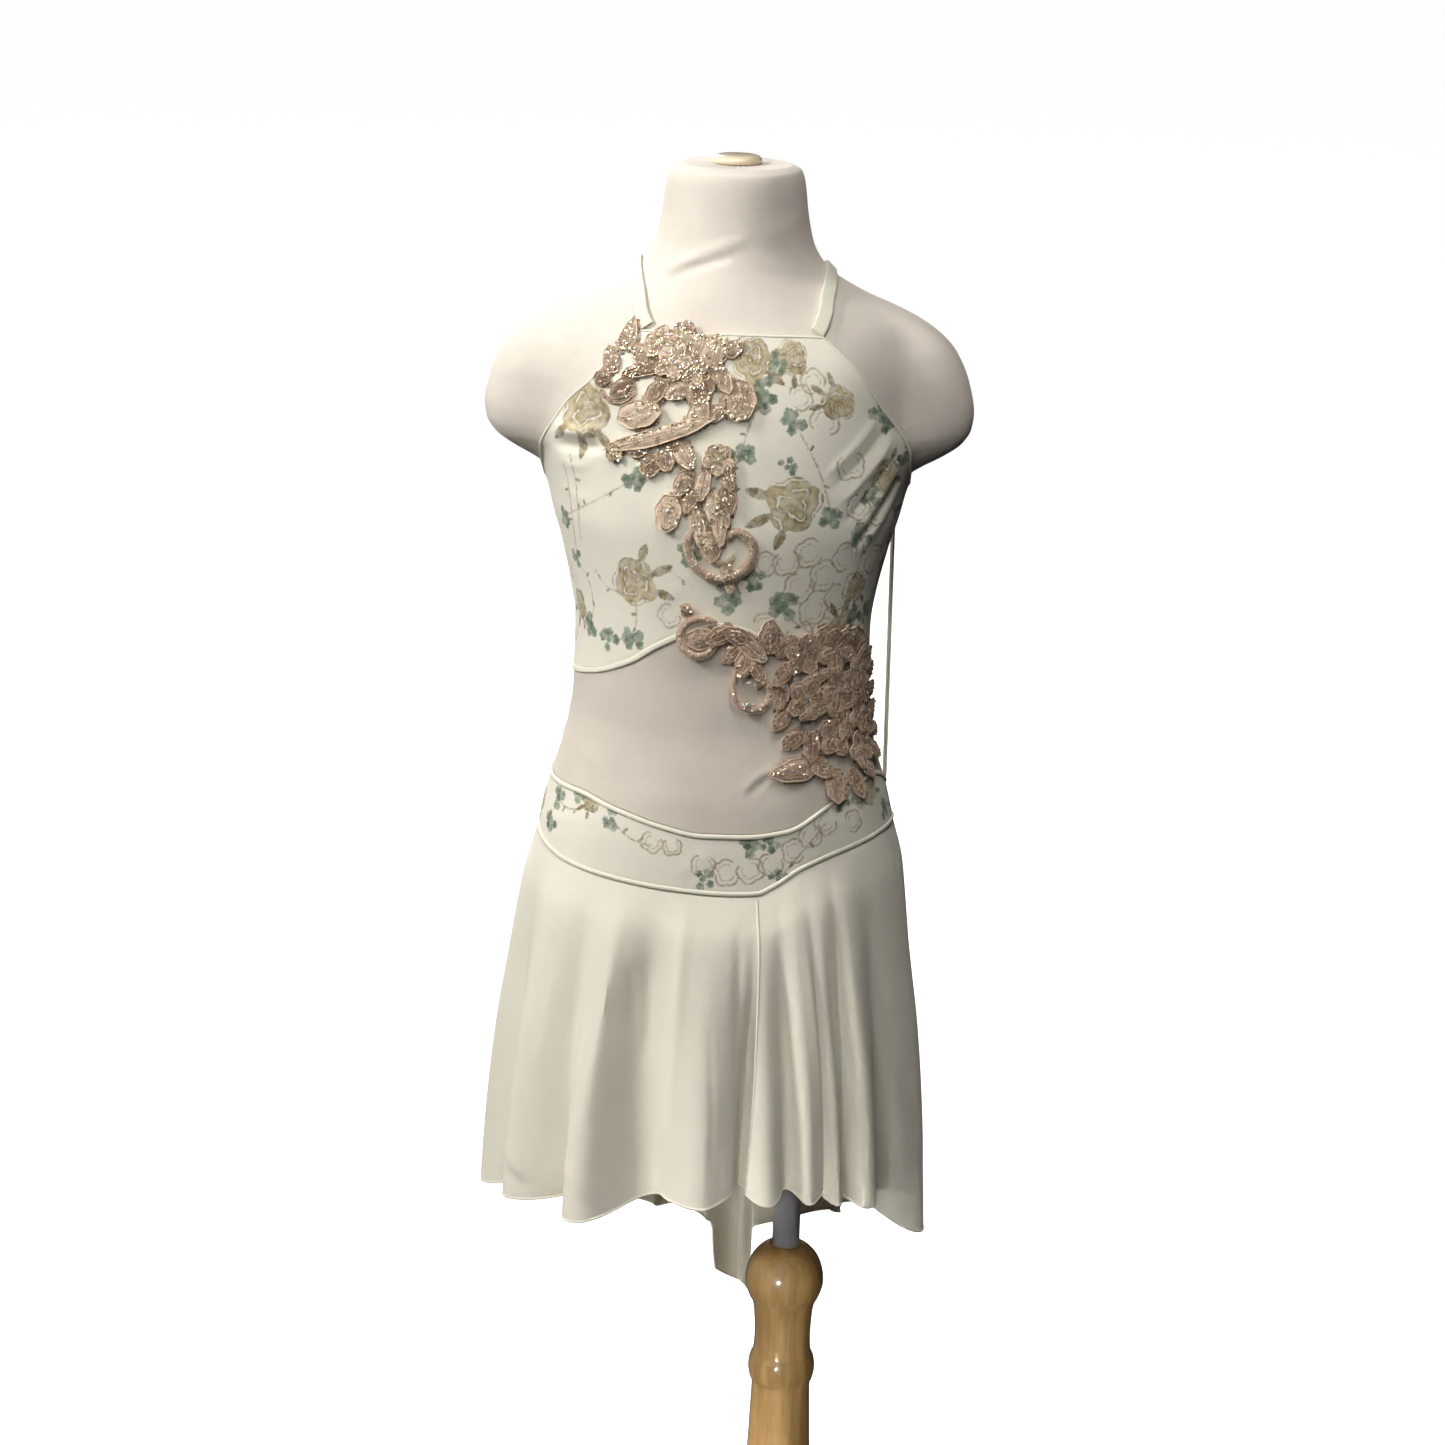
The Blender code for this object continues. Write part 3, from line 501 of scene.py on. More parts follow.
    def build(self, name: str, closed: bool = True, sharp: float = 38.0) -> bpy.types.Object:
        """Make the mesh object.

        Args:
            name: Its name.
            closed: Whether every part is closed, so that its faces are turned outwards.
            sharp: Angle over which an edge is sharp, in degrees.

        Returns:
            The object, at the origin, with its place in its mesh.
        """
        mesh = bpy.data.meshes.new(name)
        sizes = np.concatenate([np.full(len(group), group.shape[1]) for group in self.faces])
        starts = np.concatenate([[0], np.cumsum(sizes)[:-1]])
        points = np.concatenate(self.points) * MM
        mesh.vertices.add(self.count)
        mesh.vertices.foreach_set("co", points.astype(np.float32).ravel())
        loops = np.concatenate([group.ravel() for group in self.faces])
        mesh.loops.add(len(loops))
        mesh.loops.foreach_set("vertex_index", loops.astype(np.int32))
        mesh.polygons.add(len(sizes))
        mesh.polygons.foreach_set("loop_start", starts.astype(np.int32))
        mesh.polygons.foreach_set("loop_total", sizes.astype(np.int32))
        mesh.update(calc_edges=True)
        places = np.concatenate([corner.reshape(-1, 2) for corner in self.corners]) * MM
        layer = mesh.uv_layers.new(name="cloth")
        layer.data.foreach_set("uv", places.astype(np.float32).ravel())
        for title, groups in self.values.items():
            attribute = mesh.attributes.new(title, "FLOAT", "POINT")
            attribute.data.foreach_set("value", np.concatenate(groups).astype(np.float32))
        if closed:
            work = bmesh.new()
            work.from_mesh(mesh)
            bmesh.ops.recalc_face_normals(work, faces=work.faces)
            work.to_mesh(mesh)
            work.free()
        mesh.validate()
        mesh.shade_smooth()
        mesh.set_sharp_from_angle(angle=math.radians(sharp))
        item = bpy.data.objects.new(name, mesh)
        bpy.context.scene.collection.objects.link(item)
        return item


class Tree:
    """Shader nodes, made and joined in few words."""

    def __init__(self, tree: bpy.types.NodeTree) -> None:
        """Take the tree that the nodes go into."""
        self.tree = tree

    def add(self, kind: str, inputs: dict[str | int, object] | None = None,
            **settings: object) -> bpy.types.Node:
        """Add a node.

        Args:
            kind: Its type's name without the leading ShaderNode.
            inputs: Numbers, colours or sockets for its inputs.
            **settings: The node's own settings.

        Returns:
            The node.
        """
        node = self.tree.nodes.new("ShaderNode" + kind)
        for name, value in settings.items():
            setattr(node, name, value)
        self.feed(node, inputs or {})
        return node

    def feed(self, node: bpy.types.Node, inputs: dict[str | int, object]) -> None:
        """Join a node's inputs to other nodes, or set their numbers or colours."""
        for name, value in inputs.items():
            socket = node.inputs[name]
            if isinstance(value, Socket):
                self.tree.links.new(value, socket)
            elif isinstance(value, tuple) and len(value) == 3 and socket.type == "RGBA":
                socket.default_value = (*value, 1.0)
            elif value is not None:
                socket.default_value = value

    def math(self, operation: str, first: object, second: object = 0.0,
             third: object | None = None) -> Socket:
        """A sum, product or other function of one, two or three numbers."""
        return self.add("Math", {0: first, 1: second, 2: third}, operation=operation).outputs[0]


class Graph(Tree):
    """A material's nodes."""

    def __init__(self, name: str) -> None:
        """Start a material that holds a Principled shader."""
        self.material = bpy.data.materials.new(name)
        self.material.use_nodes = True
        super().__init__(self.material.node_tree)
        self.shader = self.tree.nodes["Principled BSDF"]

    def wave(self, value: object, length: float) -> Socket:
        """A sine that comes round again after a length."""
        return self.math("SINE", self.math("MULTIPLY", value, math.tau / length))

    def evened(self, value: object, scale: float) -> Socket:
        """A number from 0 to 1, with its middle brought to nought, times a scale."""
        return self.math("MULTIPLY", self.math("SUBTRACT", value, 0.5), scale)

    def mix(self, first: object, second: object, share: object) -> Socket:
        """One colour turned into another by a share."""
        return self.add("Mix", {0: share, 6: first, 7: second}, data_type="RGBA").outputs[2]

    def value(self, name: str) -> Socket:
        """A number that the mesh's points carry."""
        return self.add("Attribute", attribute_name=name).outputs["Fac"]

    def span(self, value: object, low: float, high: float, to_low: float = 0.0,
             to_high: float = 1.0) -> Socket:
        """A number carried smoothly from one span to another, and kept inside it."""
        node = self.add("MapRange", {"Value": value, "From Min": low, "From Max": high,
                                     "To Min": to_low, "To Max": to_high},
                        interpolation_type="SMOOTHSTEP")
        return node.outputs[0]

    def object_places(self) -> Socket:
        """Object coordinates."""
        return self.add("TexCoord").outputs["Object"]

    def drawn_out(self, scale: Colour) -> Socket:
        """Object coordinates, scaled along each axis."""
        return self.add("Mapping", {"Vector": self.object_places(), "Scale": scale}).outputs[0]

    def cloth_places(self) -> bpy.types.NodeOutputs:
        """The piece's own texture map, in metres across and along the cloth."""
        return self.add("SeparateXYZ", {0: self.add("UVMap", uv_map="cloth").outputs["UV"]}).outputs

    def noise(self, places: object, scale: float, detail: float = 3.0,
              roughness: float = 0.55) -> Socket:
        """Fractal noise from 0 to 1."""
        return self.add("TexNoise", {"Vector": places, "Scale": scale, "Detail": detail,
                                     "Roughness": roughness}).outputs["Fac"]

    def bump(self, height: object, distance: float, under: object | None = None) -> Socket:
        """Turn a height into a normal, on top of another one."""
        return self.add("Bump", {"Height": height, "Distance": distance, "Strength": 1.0,
                                 "Normal": under}).outputs["Normal"]


@dataclass(frozen=True)
class Finish:
    """What every finish has: a name, a colour and the shader's plain numbers."""

    name: str
    colour: Colour
    roughness: float = 0.8
    metallic: float = 0.0
    sheen: float = 0.0
    coat: float = 0.0
    coat_roughness: float = 0.1
    mottle: float = 0.06
    mottle_scale: float = 22.0

    def gloss(self, graph: Graph) -> Socket | None:
        """The roughness where it varies over the piece."""
        return None

    def relief(self, graph: Graph) -> Socket | None:
        """The surface's fine relief, as a normal."""
        return None

    def colours(self, graph: Graph) -> Socket | None:
        """The colour with soft lighter and darker clouds, as cloth has."""
        cloud = graph.noise(graph.object_places(), self.mottle_scale)
        dark = tuple(c * (1 - self.mottle) for c in self.colour)
        light = tuple(min(1.0, c * (1 + 0.6 * self.mottle)) for c in self.colour)
        return graph.mix(dark, light, graph.span(cloud, 0.3, 0.7))

    def material(self) -> bpy.types.Material:
        """The finished material."""
        graph = Graph(self.name)
        graph.feed(graph.shader, {
            "Base Color": self.colour, "Roughness": self.roughness, "Metallic": self.metallic,
            "Sheen Weight": self.sheen, "Sheen Roughness": 0.45, "Coat Weight": self.coat,
            "Coat Roughness": self.coat_roughness})
        graph.feed(graph.shader, {"Base Color": self.colours(graph), "Normal": self.relief(graph),
                                  "Roughness": self.gloss(graph)})
        graph.material.diffuse_color = (*self.colour, 1.0)
        return graph.material


@dataclass(frozen=True)
class Knit(Finish):
    """Fine knitted cloth: ribs and loops on the cloth's own map, and soft clouds."""

    wale: float = 0.00075
    course: float = 0.00062
    depth: float = 0.000022
    slub: float = 0.0002

    def relief(self, graph: Graph) -> Socket:
        """The knit over a faint unevenness of the yarn.

        The knit is a sine across the wales, and courses that it bends into small Vs.
        """
        across, along, _ = graph.cloth_places()
        rib = graph.wave(across, self.wale)
        turn = graph.math("MULTIPLY", along, math.tau / self.course)
        loop = graph.math("SINE", graph.math("ADD", turn, graph.math("MULTIPLY", rib, 1.4)))
        weave = graph.math("MULTIPLY", graph.math("ADD", rib, loop), 0.5)
        under = graph.bump(graph.noise(graph.object_places(), 150.0, 4.0), self.slub)
        return graph.bump(weave, self.depth, under)


@dataclass(frozen=True)
class Net(Finish):
    """Stretch mesh: small diamond holes, painted darker as shade on what shows through them."""

    cell: float = 0.0011
    shaded_hole: Colour = (0.50, 0.43, 0.36)
    openness: float = 0.28

    def holes(self, graph: Graph) -> Socket:
        """Two crossed sines, both high at a hole."""
        across, along, _ = graph.cloth_places()
        return graph.math("MULTIPLY", *(graph.wave(graph.math(way, across, along), self.cell)
                                        for way in ("ADD", "SUBTRACT")))

    def colours(self, graph: Graph) -> Socket:
        """The clouded colour, with painted shade in the holes."""
        return graph.mix(super().colours(graph), self.shaded_hole,
                         graph.span(self.holes(graph), 0.25, 0.6, 0.0, self.openness))

    def relief(self, graph: Graph) -> Socket:
        """The threads between the holes."""
        return graph.bump(self.holes(graph), 0.00003)


@dataclass(frozen=True)
class Printed(Knit):
    """Knit with a flower print, whose edges are distances that the points carry, in mm."""

    leaf_dark: Colour = (0.045, 0.090, 0.052)
    leaf_light: Colour = (0.28, 0.355, 0.25)
    gold_dark: Colour = (0.17, 0.115, 0.045)
    gold_light: Colour = (0.58, 0.485, 0.255)
    # Brown for the stems, and for the painted shade along the scallops' cords.
    stem: Colour = (0.42, 0.32, 0.20)
    edge: float = 0.55

    def colours(self, graph: Graph) -> Socket:
        """Stems, and the scallops' painted shade in the same brown ink, under gold roses under
        green leaves, all slightly worn into the cloth.
        """
        places = graph.object_places()
        fleck = graph.evened(graph.noise(places, 420.0, 2.0), 1.6)
        wear = graph.span(graph.noise(places, 160.0, 3.0), 0.30, 0.62, 0.50, 0.95)
        wash = graph.evened(graph.noise(places, 230.0, 4.0), 1.3)
        colour = super().colours(graph)
        for name, dark, light, tone in (
                ("stem_edge", self.stem, self.stem, "gold_tone"),
                ("gold_edge", self.gold_dark, self.gold_light, "gold_tone"),
                ("leaf_edge", self.leaf_dark, self.leaf_light, "leaf_tone")):
            rough_edge = graph.math("ADD", graph.value(name), fleck)
            cover = graph.math("MULTIPLY", graph.span(rough_edge, self.edge, -self.edge), wear)
            ink = graph.mix(dark, light, graph.math("ADD", graph.value(tone), wash))
            colour = graph.mix(colour, ink, cover)
        return colour


@dataclass(frozen=True)
class Wood(Finish):
    """Varnished wood: long grain along one axis, darker bands and a glossy coat."""

    roughness: float = 0.30
    coat: float = 1.0
    coat_roughness: float = 0.09
    dark: Colour = (0.50, 0.295, 0.105)
    along: Colour = (1.0, 1.0, 0.09)

    def pores(self, graph: Graph) -> Socket:
        """Fine noise, drawn out more than the grain."""
        fine = tuple(scale ** 1.45 for scale in self.along)
        return graph.noise(graph.drawn_out(fine), 650.0, 2.0)

    def colours(self, graph: Graph) -> Socket:
        """Bands of noise drawn out along the axis, with deeper pores."""
        grain = graph.noise(graph.drawn_out(self.along), 75.0, 5.0, 0.6)
        band = graph.mix(self.dark, self.colour, graph.span(grain, 0.33, 0.66))
        deep = tuple(c * 0.6 for c in self.dark)
        return graph.mix(band, deep, graph.span(self.pores(graph), 0.62, 0.8, 0.0, 0.3))

    def relief(self, graph: Graph) -> Socket:
        """The pores, under the varnish."""
        return graph.bump(self.pores(graph), 0.00005)


@dataclass(frozen=True)
class Chrome(Finish):
    """Polished tube with faint drawn lines along it."""

    def colours(self, graph: Graph) -> None:
        """The plain colour."""
        return None

    def gloss(self, graph: Graph) -> Socket:
        """Soft smears."""
        return graph.span(graph.noise(graph.object_places(), 40.0, 3.0), 0.3, 0.7, 0.12, 0.26)

    def relief(self, graph: Graph) -> Socket:
        """Lines: noise drawn out along the height."""
        return graph.bump(graph.noise(graph.drawn_out((1.0, 1.0, 0.01)), 900.0, 2.0), 0.00001)


@dataclass(frozen=True)
class Tinted(Finish):
    """A finish that runs between two colours with the tint and painted shade that the points carry.
    """

    light: Colour = (0.8, 0.6, 0.45)
    thread: float = 0.0
    thread_depth: float = 0.00005
    grain: float = 0.0
    glitter_and_glint: Colour | None = None

    def specks(self, graph: Graph) -> Socket:
        """Bright specks, painted glints: the middles of some small cells, picked by chance."""
        cells = graph.add("TexVoronoi", {"Vector": graph.object_places(), "Scale": 620.0})
        return graph.math("MULTIPLY", graph.span(cells.outputs["Color"], 0.62, 0.66),
                          graph.span(cells.outputs["Distance"], 0.50, 0.36))

    def colours(self, graph: Graph) -> Socket:
        """The two colours, clouded by noise, with the glitter's specks painted on them as
        near-white glints.
        """
        cloud = graph.evened(graph.noise(graph.object_places(), 260.0, 3.0), 0.7)
        share = graph.math("ADD", graph.value("tint_and_shade"), cloud)
        colour = graph.mix(self.colour, self.light, share)
        return graph.mix(colour, self.glitter_and_glint, self.specks(graph)) if self.glitter_and_glint else colour

    def gloss(self, graph: Graph) -> Socket | None:
        """Smoother on the specks."""
        return (graph.span(self.specks(graph), 0.0, 1.0, self.roughness, 0.2) if self.glitter_and_glint
                else None)

    def relief(self, graph: Graph) -> Socket | None:
        """Threads are sines along the texture map, over the fine noise of the grain."""
        normal = None
        if self.grain:
            normal = graph.bump(graph.noise(graph.object_places(), 1500.0, 2.0), self.grain)
        if self.thread:
            thread = graph.wave(graph.cloth_places()[0], self.thread)
            normal = graph.bump(thread, self.thread_depth, normal)
        return normal


def lace_finishes(net: Net, stone_metal: float, *looks: tuple[str, Colour, Colour, Colour | None]
                  ) -> tuple[Finish, ...]:
    """An applique's finishes: fill, cord, sequins, beads, stones and net.

    Args:
        net: The base's finish.
        stone_metal: How metallic the stones are.
        *looks: A name, two colours and the colour of the glitter's painted glints for each of the
                first five.

    Returns:
        The six finishes.
    """
    numbers = ({"roughness": 0.5, "metallic": 0.05, "sheen": 0.3, "thread": 0.0006,
                "thread_depth": 0.00006, "grain": 0.00005},
               {"roughness": 0.36, "metallic": 0.4, "thread": 0.0009, "thread_depth": 0.0001},
               {"roughness": 0.18, "metallic": 0.7, "coat": 1.0, "coat_roughness": 0.05},
               {"roughness": 0.15, "metallic": 0.3, "coat": 0.8},
               {"roughness": 0.05, "metallic": stone_metal, "coat": 1.0, "coat_roughness": 0.02})
    return (*(Tinted(name, dark, light=light, glitter_and_glint=glitter_and_glint, **kept)
              for (name, dark, light, glitter_and_glint), kept in zip(looks, numbers)), net)


FORM_FINISH = Knit("form_cover_jersey", (0.80, 0.735, 0.655), 0.9, sheen=0.25, mottle=0.05)
PRINT_FINISH = Printed("printed_stretch_knit", (0.90, 0.87, 0.75), 0.68, sheen=0.2, mottle=0.03)
JERSEY_FINISH = Knit("soft_cream_jersey", (0.83, 0.795, 0.68), 0.85, sheen=0.3, mottle=0.022)
BINDING_FINISH = Knit("cream_stretch_binding", (0.86, 0.835, 0.70), 0.65, sheen=0.15, mottle=0.03,
                      wale=0.0009, course=0.0009, depth=0.00004)
NET_FINISH = Net("nude_stretch_mesh", (0.72, 0.655, 0.57), 0.75, sheen=0.2, mottle=0.05)
THREAD_FINISH = Finish("cream_thread", (0.80, 0.77, 0.62), 0.6, sheen=0.2)
WOOD_FINISH = Wood("honey_varnished_wood", (0.74, 0.48, 0.195))
BASE_FINISH = Wood("honey_varnished_board", (0.74, 0.48, 0.195), along=(0.09, 1.0, 1.0))
# The cap's pale colour is partly the wood's own and partly painted glare.
CAP_FINISH = Wood("pale_cap_wood_painted_glare", (0.88, 0.78, 0.58), dark=(0.74, 0.60, 0.38),
                  along=(0.09, 1.0, 1.0))
CHROME_FINISH = Chrome("polished_chrome", (0.74, 0.74, 0.79), 0.2, metallic=0.6)
ROSE_FINISHES = lace_finishes(
    # The net base is dark brown as painted shade between the petals, and its holes as the shaded
    # cloth beneath.
    Net("rose_net_painted_shade", (0.42, 0.30, 0.22), 0.7, sheen=0.2, shaded_hole=(0.58, 0.50, 0.40), openness=0.5),
    0.35,
    # The fill's dark colour is mostly painted shade, reached at the petals' roots.
    ("rose_satin_fill", (0.22, 0.13, 0.08), (0.90, 0.70, 0.55), (1.0, 0.93, 0.74)),
    ("rose_gold_cord", (0.50, 0.34, 0.21), (0.92, 0.74, 0.54), (1.0, 0.95, 0.78)),
    ("rose_gold_sequins", (0.95, 0.74, 0.46), (1.0, 0.97, 0.78), None),
    ("gold_seed_beads", (0.93, 0.72, 0.42), (1.0, 0.93, 0.66), None),
    ("clear_stones", (0.60, 0.48, 0.55), (0.90, 0.88, 0.95), None))
DARK_FINISHES = lace_finishes(
    # The net base is dark brown as painted shade between the petals, and its holes as the shaded
    # cloth beneath.
    Net("rosewood_net_painted_shade", (0.27, 0.185, 0.14), 0.7, sheen=0.2, shaded_hole=(0.42, 0.33, 0.26),
        openness=0.5), 0.4,
    # The fill's dark colour is mostly painted shade, reached at the petals' roots.
    ("rosewood_satin_fill", (0.25, 0.145, 0.105), (0.84, 0.64, 0.52), (1.0, 0.84, 0.60)),
    ("rosewood_cord", (0.47, 0.32, 0.23), (0.90, 0.68, 0.50), (1.0, 0.86, 0.62)),
    ("copper_sequins", (0.92, 0.70, 0.46), (1.0, 0.92, 0.68), None),
    ("copper_seed_beads", (0.72, 0.50, 0.31), (0.95, 0.76, 0.48), None),
    ("iridescent_stones", (0.42, 0.36, 0.50), (0.45, 0.75, 0.85), None))


@dataclass
class Piece:
    """A made piece and what the frame needs to know of it.

    A sheet of cloth has its flat width and length, and the share of its size that it was
    cut to. Its trims are the names of the pieces that are sewn on it.
    """

    item: bpy.types.Object
    finish: Finish
    slot: Slot
    stands_for: tuple[str, ...] = ()
    flat: Place | None = None
    held: Held = Held.STRETCHED
    share: float = 1.0
    trims: tuple[str, ...] = ()

    def cut(self, extent: Place, held: Held, *trims: str) -> None:
        """Note the size that a sheet was cut to: a stretch panel is smaller than it lies."""
        panel = held is Held.STRETCHED and extent[0] > WIDEST_STRAP
        self.share = STRETCH_CUT if panel else 1.0
        self.flat = (extent[0] * self.share, extent[1] * self.share)
        self.held, self.trims = held, trims

    def declare(self) -> None:
        """Does nothing: no sheet of cloth is declared here."""
        if self.flat is None:
            return


def lace_pieces(name: str) -> list[str]:
    """Names of the pieces that make up an applique."""
    return [f"{name}_{kind}" for kind in ("net", "petals", "cords", "sequins", "beads", "stones")]


@dataclass
class SubAssembly:
    """A part of the dress or its stand, which builds its pieces and dresses them."""

    made: list[Piece] = field(default_factory=list, init=False)

    def build(self) -> None:
        """Make the pieces."""
        raise NotImplementedError

    def keep(self, item: bpy.types.Object, finish: Finish, slot: Slot, *stands_for: str) -> Piece:
        """Note a made piece, its finish and the solids that it stands for."""
        self.made.append(Piece(item, finish, slot, stands_for))
        return self.made[-1]

    def dress(self, materials: dict[str, bpy.types.Material]) -> None:
        """Give each piece its finish, attach it to the body and hide the solids that it stands for.

        Args:
            materials: The materials made so far, by name.
        """
        for piece in self.made:
            if piece.finish.name not in materials:
                materials[piece.finish.name] = piece.finish.material()
            piece.item.data.materials.append(materials[piece.finish.name])
            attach(piece.item, BODY)
            if piece.stands_for:
                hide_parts(*piece.stands_for)

    def report(self) -> None:
        """Log each piece and its number of faces."""
        for piece in self.made:
            piece.declare()
            LOG.info("%s: %s, %d faces", type(self).__name__, piece.item.name,
                     len(piece.item.data.polygons))


@dataclass(frozen=True)
class Crease:
    """A soft ridge along a line on the cloth, or a trough where its height is negative.

    Across the line the height falls off as a bell curve. It fades out at both ends.
    """

    start: Place
    end: Place
    width: float
    height: float
    bow: float = 0.0

    def lift(self, way: Array, level: Array) -> Array:
        """How far the crease moves places of the cloth, by way round and height, outwards."""
        run = np.array(self.end, dtype=float) - np.array(self.start, dtype=float)
        length = float(np.hypot(*run))
        across, up = way - self.start[0], level - self.start[1]
        along = (across * run[0] + up * run[1]) / length
        part = np.clip(along / length, 0.0, 1.0)
        aside = (across * -run[1] + up * run[0]) / length - self.bow * 4 * part * (1 - part)
        beyond = along - part * length
        fade = ease(part / 0.3) * ease((1 - part) / 0.3)
        return self.height * fade * np.exp(-(aside ** 2 + beyond ** 2) / self.width ** 2)


def creases(*rows: Row) -> tuple[Crease, ...]:
    """Creases from rows of their two ends, width, height and bow."""
    return tuple(Crease(row[:2], row[2:4], *row[4:]) for row in rows)


def total_lift(ridges: Sequence[Crease], way: Array, level: Array) -> Array:
    """The sum of several creases."""
    total = np.zeros(np.broadcast(way, level).shape)
    for crease in ridges:
        total = total + crease.lift(way, level)
    return total


BODICE_START = -118.0
BODICE_END = 98.5
BODICE_EASE = Table(("angle", "height", "turn", "rise", "lift"), (
    (71, 1014, 15, 27, 4.0), (88, 990, 16, 20, 1.2), (51, 1066, 14, 26, 1.9),
    (52, 962, 14, 20, 0.4), (70, 885, 60, 16, 0.15)))
BODICE_TOP = edge_table(
    (-118, 975), (-97, 978), (-86, 985), (-77, 1003), (-70, 1026), (-64, 1044), (-56, 1060),
    (-42, 1095), (0, 1095), (42, 1094), (50, 1079), (58, 1052), (70, 1021), (76, 1001),
    (85, 986), (98.5, 980))
BODICE_LOW = edge_table(
    (-120, 846), (-84, 851), (-60, 859), (-42, 871), (-30, 884), (-18, 894), (0, 902),
    (18, 894), (36, 878), (54, 859), (78, 837), (102, 827))
BASQUE_TOP = edge_table(
    (-180, 752), (-132, 755), (-90, 769), (-60, 770), (-42, 763), (-24, 755), (-6, 750),
    (12, 750), (30, 753.5), (48, 770), (60, 780), (72, 782), (90, 769), (102, 760),
    (132, 754), (180, 752))
SKIRT_SEAM = edge_table(
    (-180, 722), (-132, 724), (-90, 732), (-72, 726), (-60, 721), (-36, 715), (-18, 712),
    (6, 710), (18, 710.5), (24, 715), (36, 728), (48, 736), (60, 741), (72, 744), (84, 744.5),
    (102, 737), (132, 727), (180, 722))


def edge_height(table: Table, angle: Array) -> Array:
    """Height of a cloth edge at an angle in radians."""
    degrees = np.degrees(angle)
    goes_round = table.rows[0][0] <= -180
    return table.read("height", half_turned(degrees) if goes_round else degrees)


def bodice_ease(angle: Array, height: Array) -> Array:
    """How much more the cloth stands off the form where it bridges a hollow."""
    side = np.abs(half_turned(np.degrees(angle)))
    total = np.zeros(np.broadcast(side, height).shape)
    for middle, level, turn, rise, lift in BODICE_EASE.rows:
        total = total + lift * np.exp(-((side - middle) / turn) ** 2
                                      - ((height - level) / rise) ** 2)
    return total


@dataclass(frozen=True)
class BodyCloth:
    """Cloth that lies on the form, with its creases."""

    thickness: float = CLOTH
    wall: float = 0.9
    creases: tuple[Crease, ...] = ()

    def at(self, angle: Array, height: Array, above: Numbers = 0.0) -> Array:
        """Points of the cloth's face, or so far above it."""
        way = SHAPE.way_round(angle)
        lift = (CLOTH_LIFT + bodice_ease(angle, height) + self.thickness
                + total_lift(self.creases, way, height) + above)
        return lifted(SHAPE.plan, angle, height, lift)

    def line(self, angles: Array, height: Array, above: float) -> Line:
        """Points along a line on the cloth, and the outward direction at each."""
        return self.at(angles, height, above), SHAPE.normal(angles, height)

    def shell(self, angles: Array, low: Array, high: Array, rows: int,
              values: Callable[[Array, Array], Values] | None = None, stride: int = 4) -> MeshParts:
        """A wall between two edges: level rows that run from the low edge to the high one.

        Args:
            angles: Angles of the columns.
            low: Height of the low edge at each.
            high: Height of the high edge at each.
            rows: Number of rows.
            values: What gives named numbers at places of the cloth.
            stride: How much coarser the back is.

        Returns:
            The wall's parts.
        """
        share = np.linspace(0, 1, rows)[:, None]
        height = low + share * (high - low)
        angle = np.broadcast_to(angles, height.shape)
        inner = self.at(angle[::stride, ::stride], height[::stride, ::stride], -self.wall)
        way = SHAPE.way_round(angle)
        parts = MeshParts()
        parts.add_shell(self.at(angle, height), inner, np.stack([way, height], axis=-1), stride,
                        values=values(way, height) if values else None)
        return parts


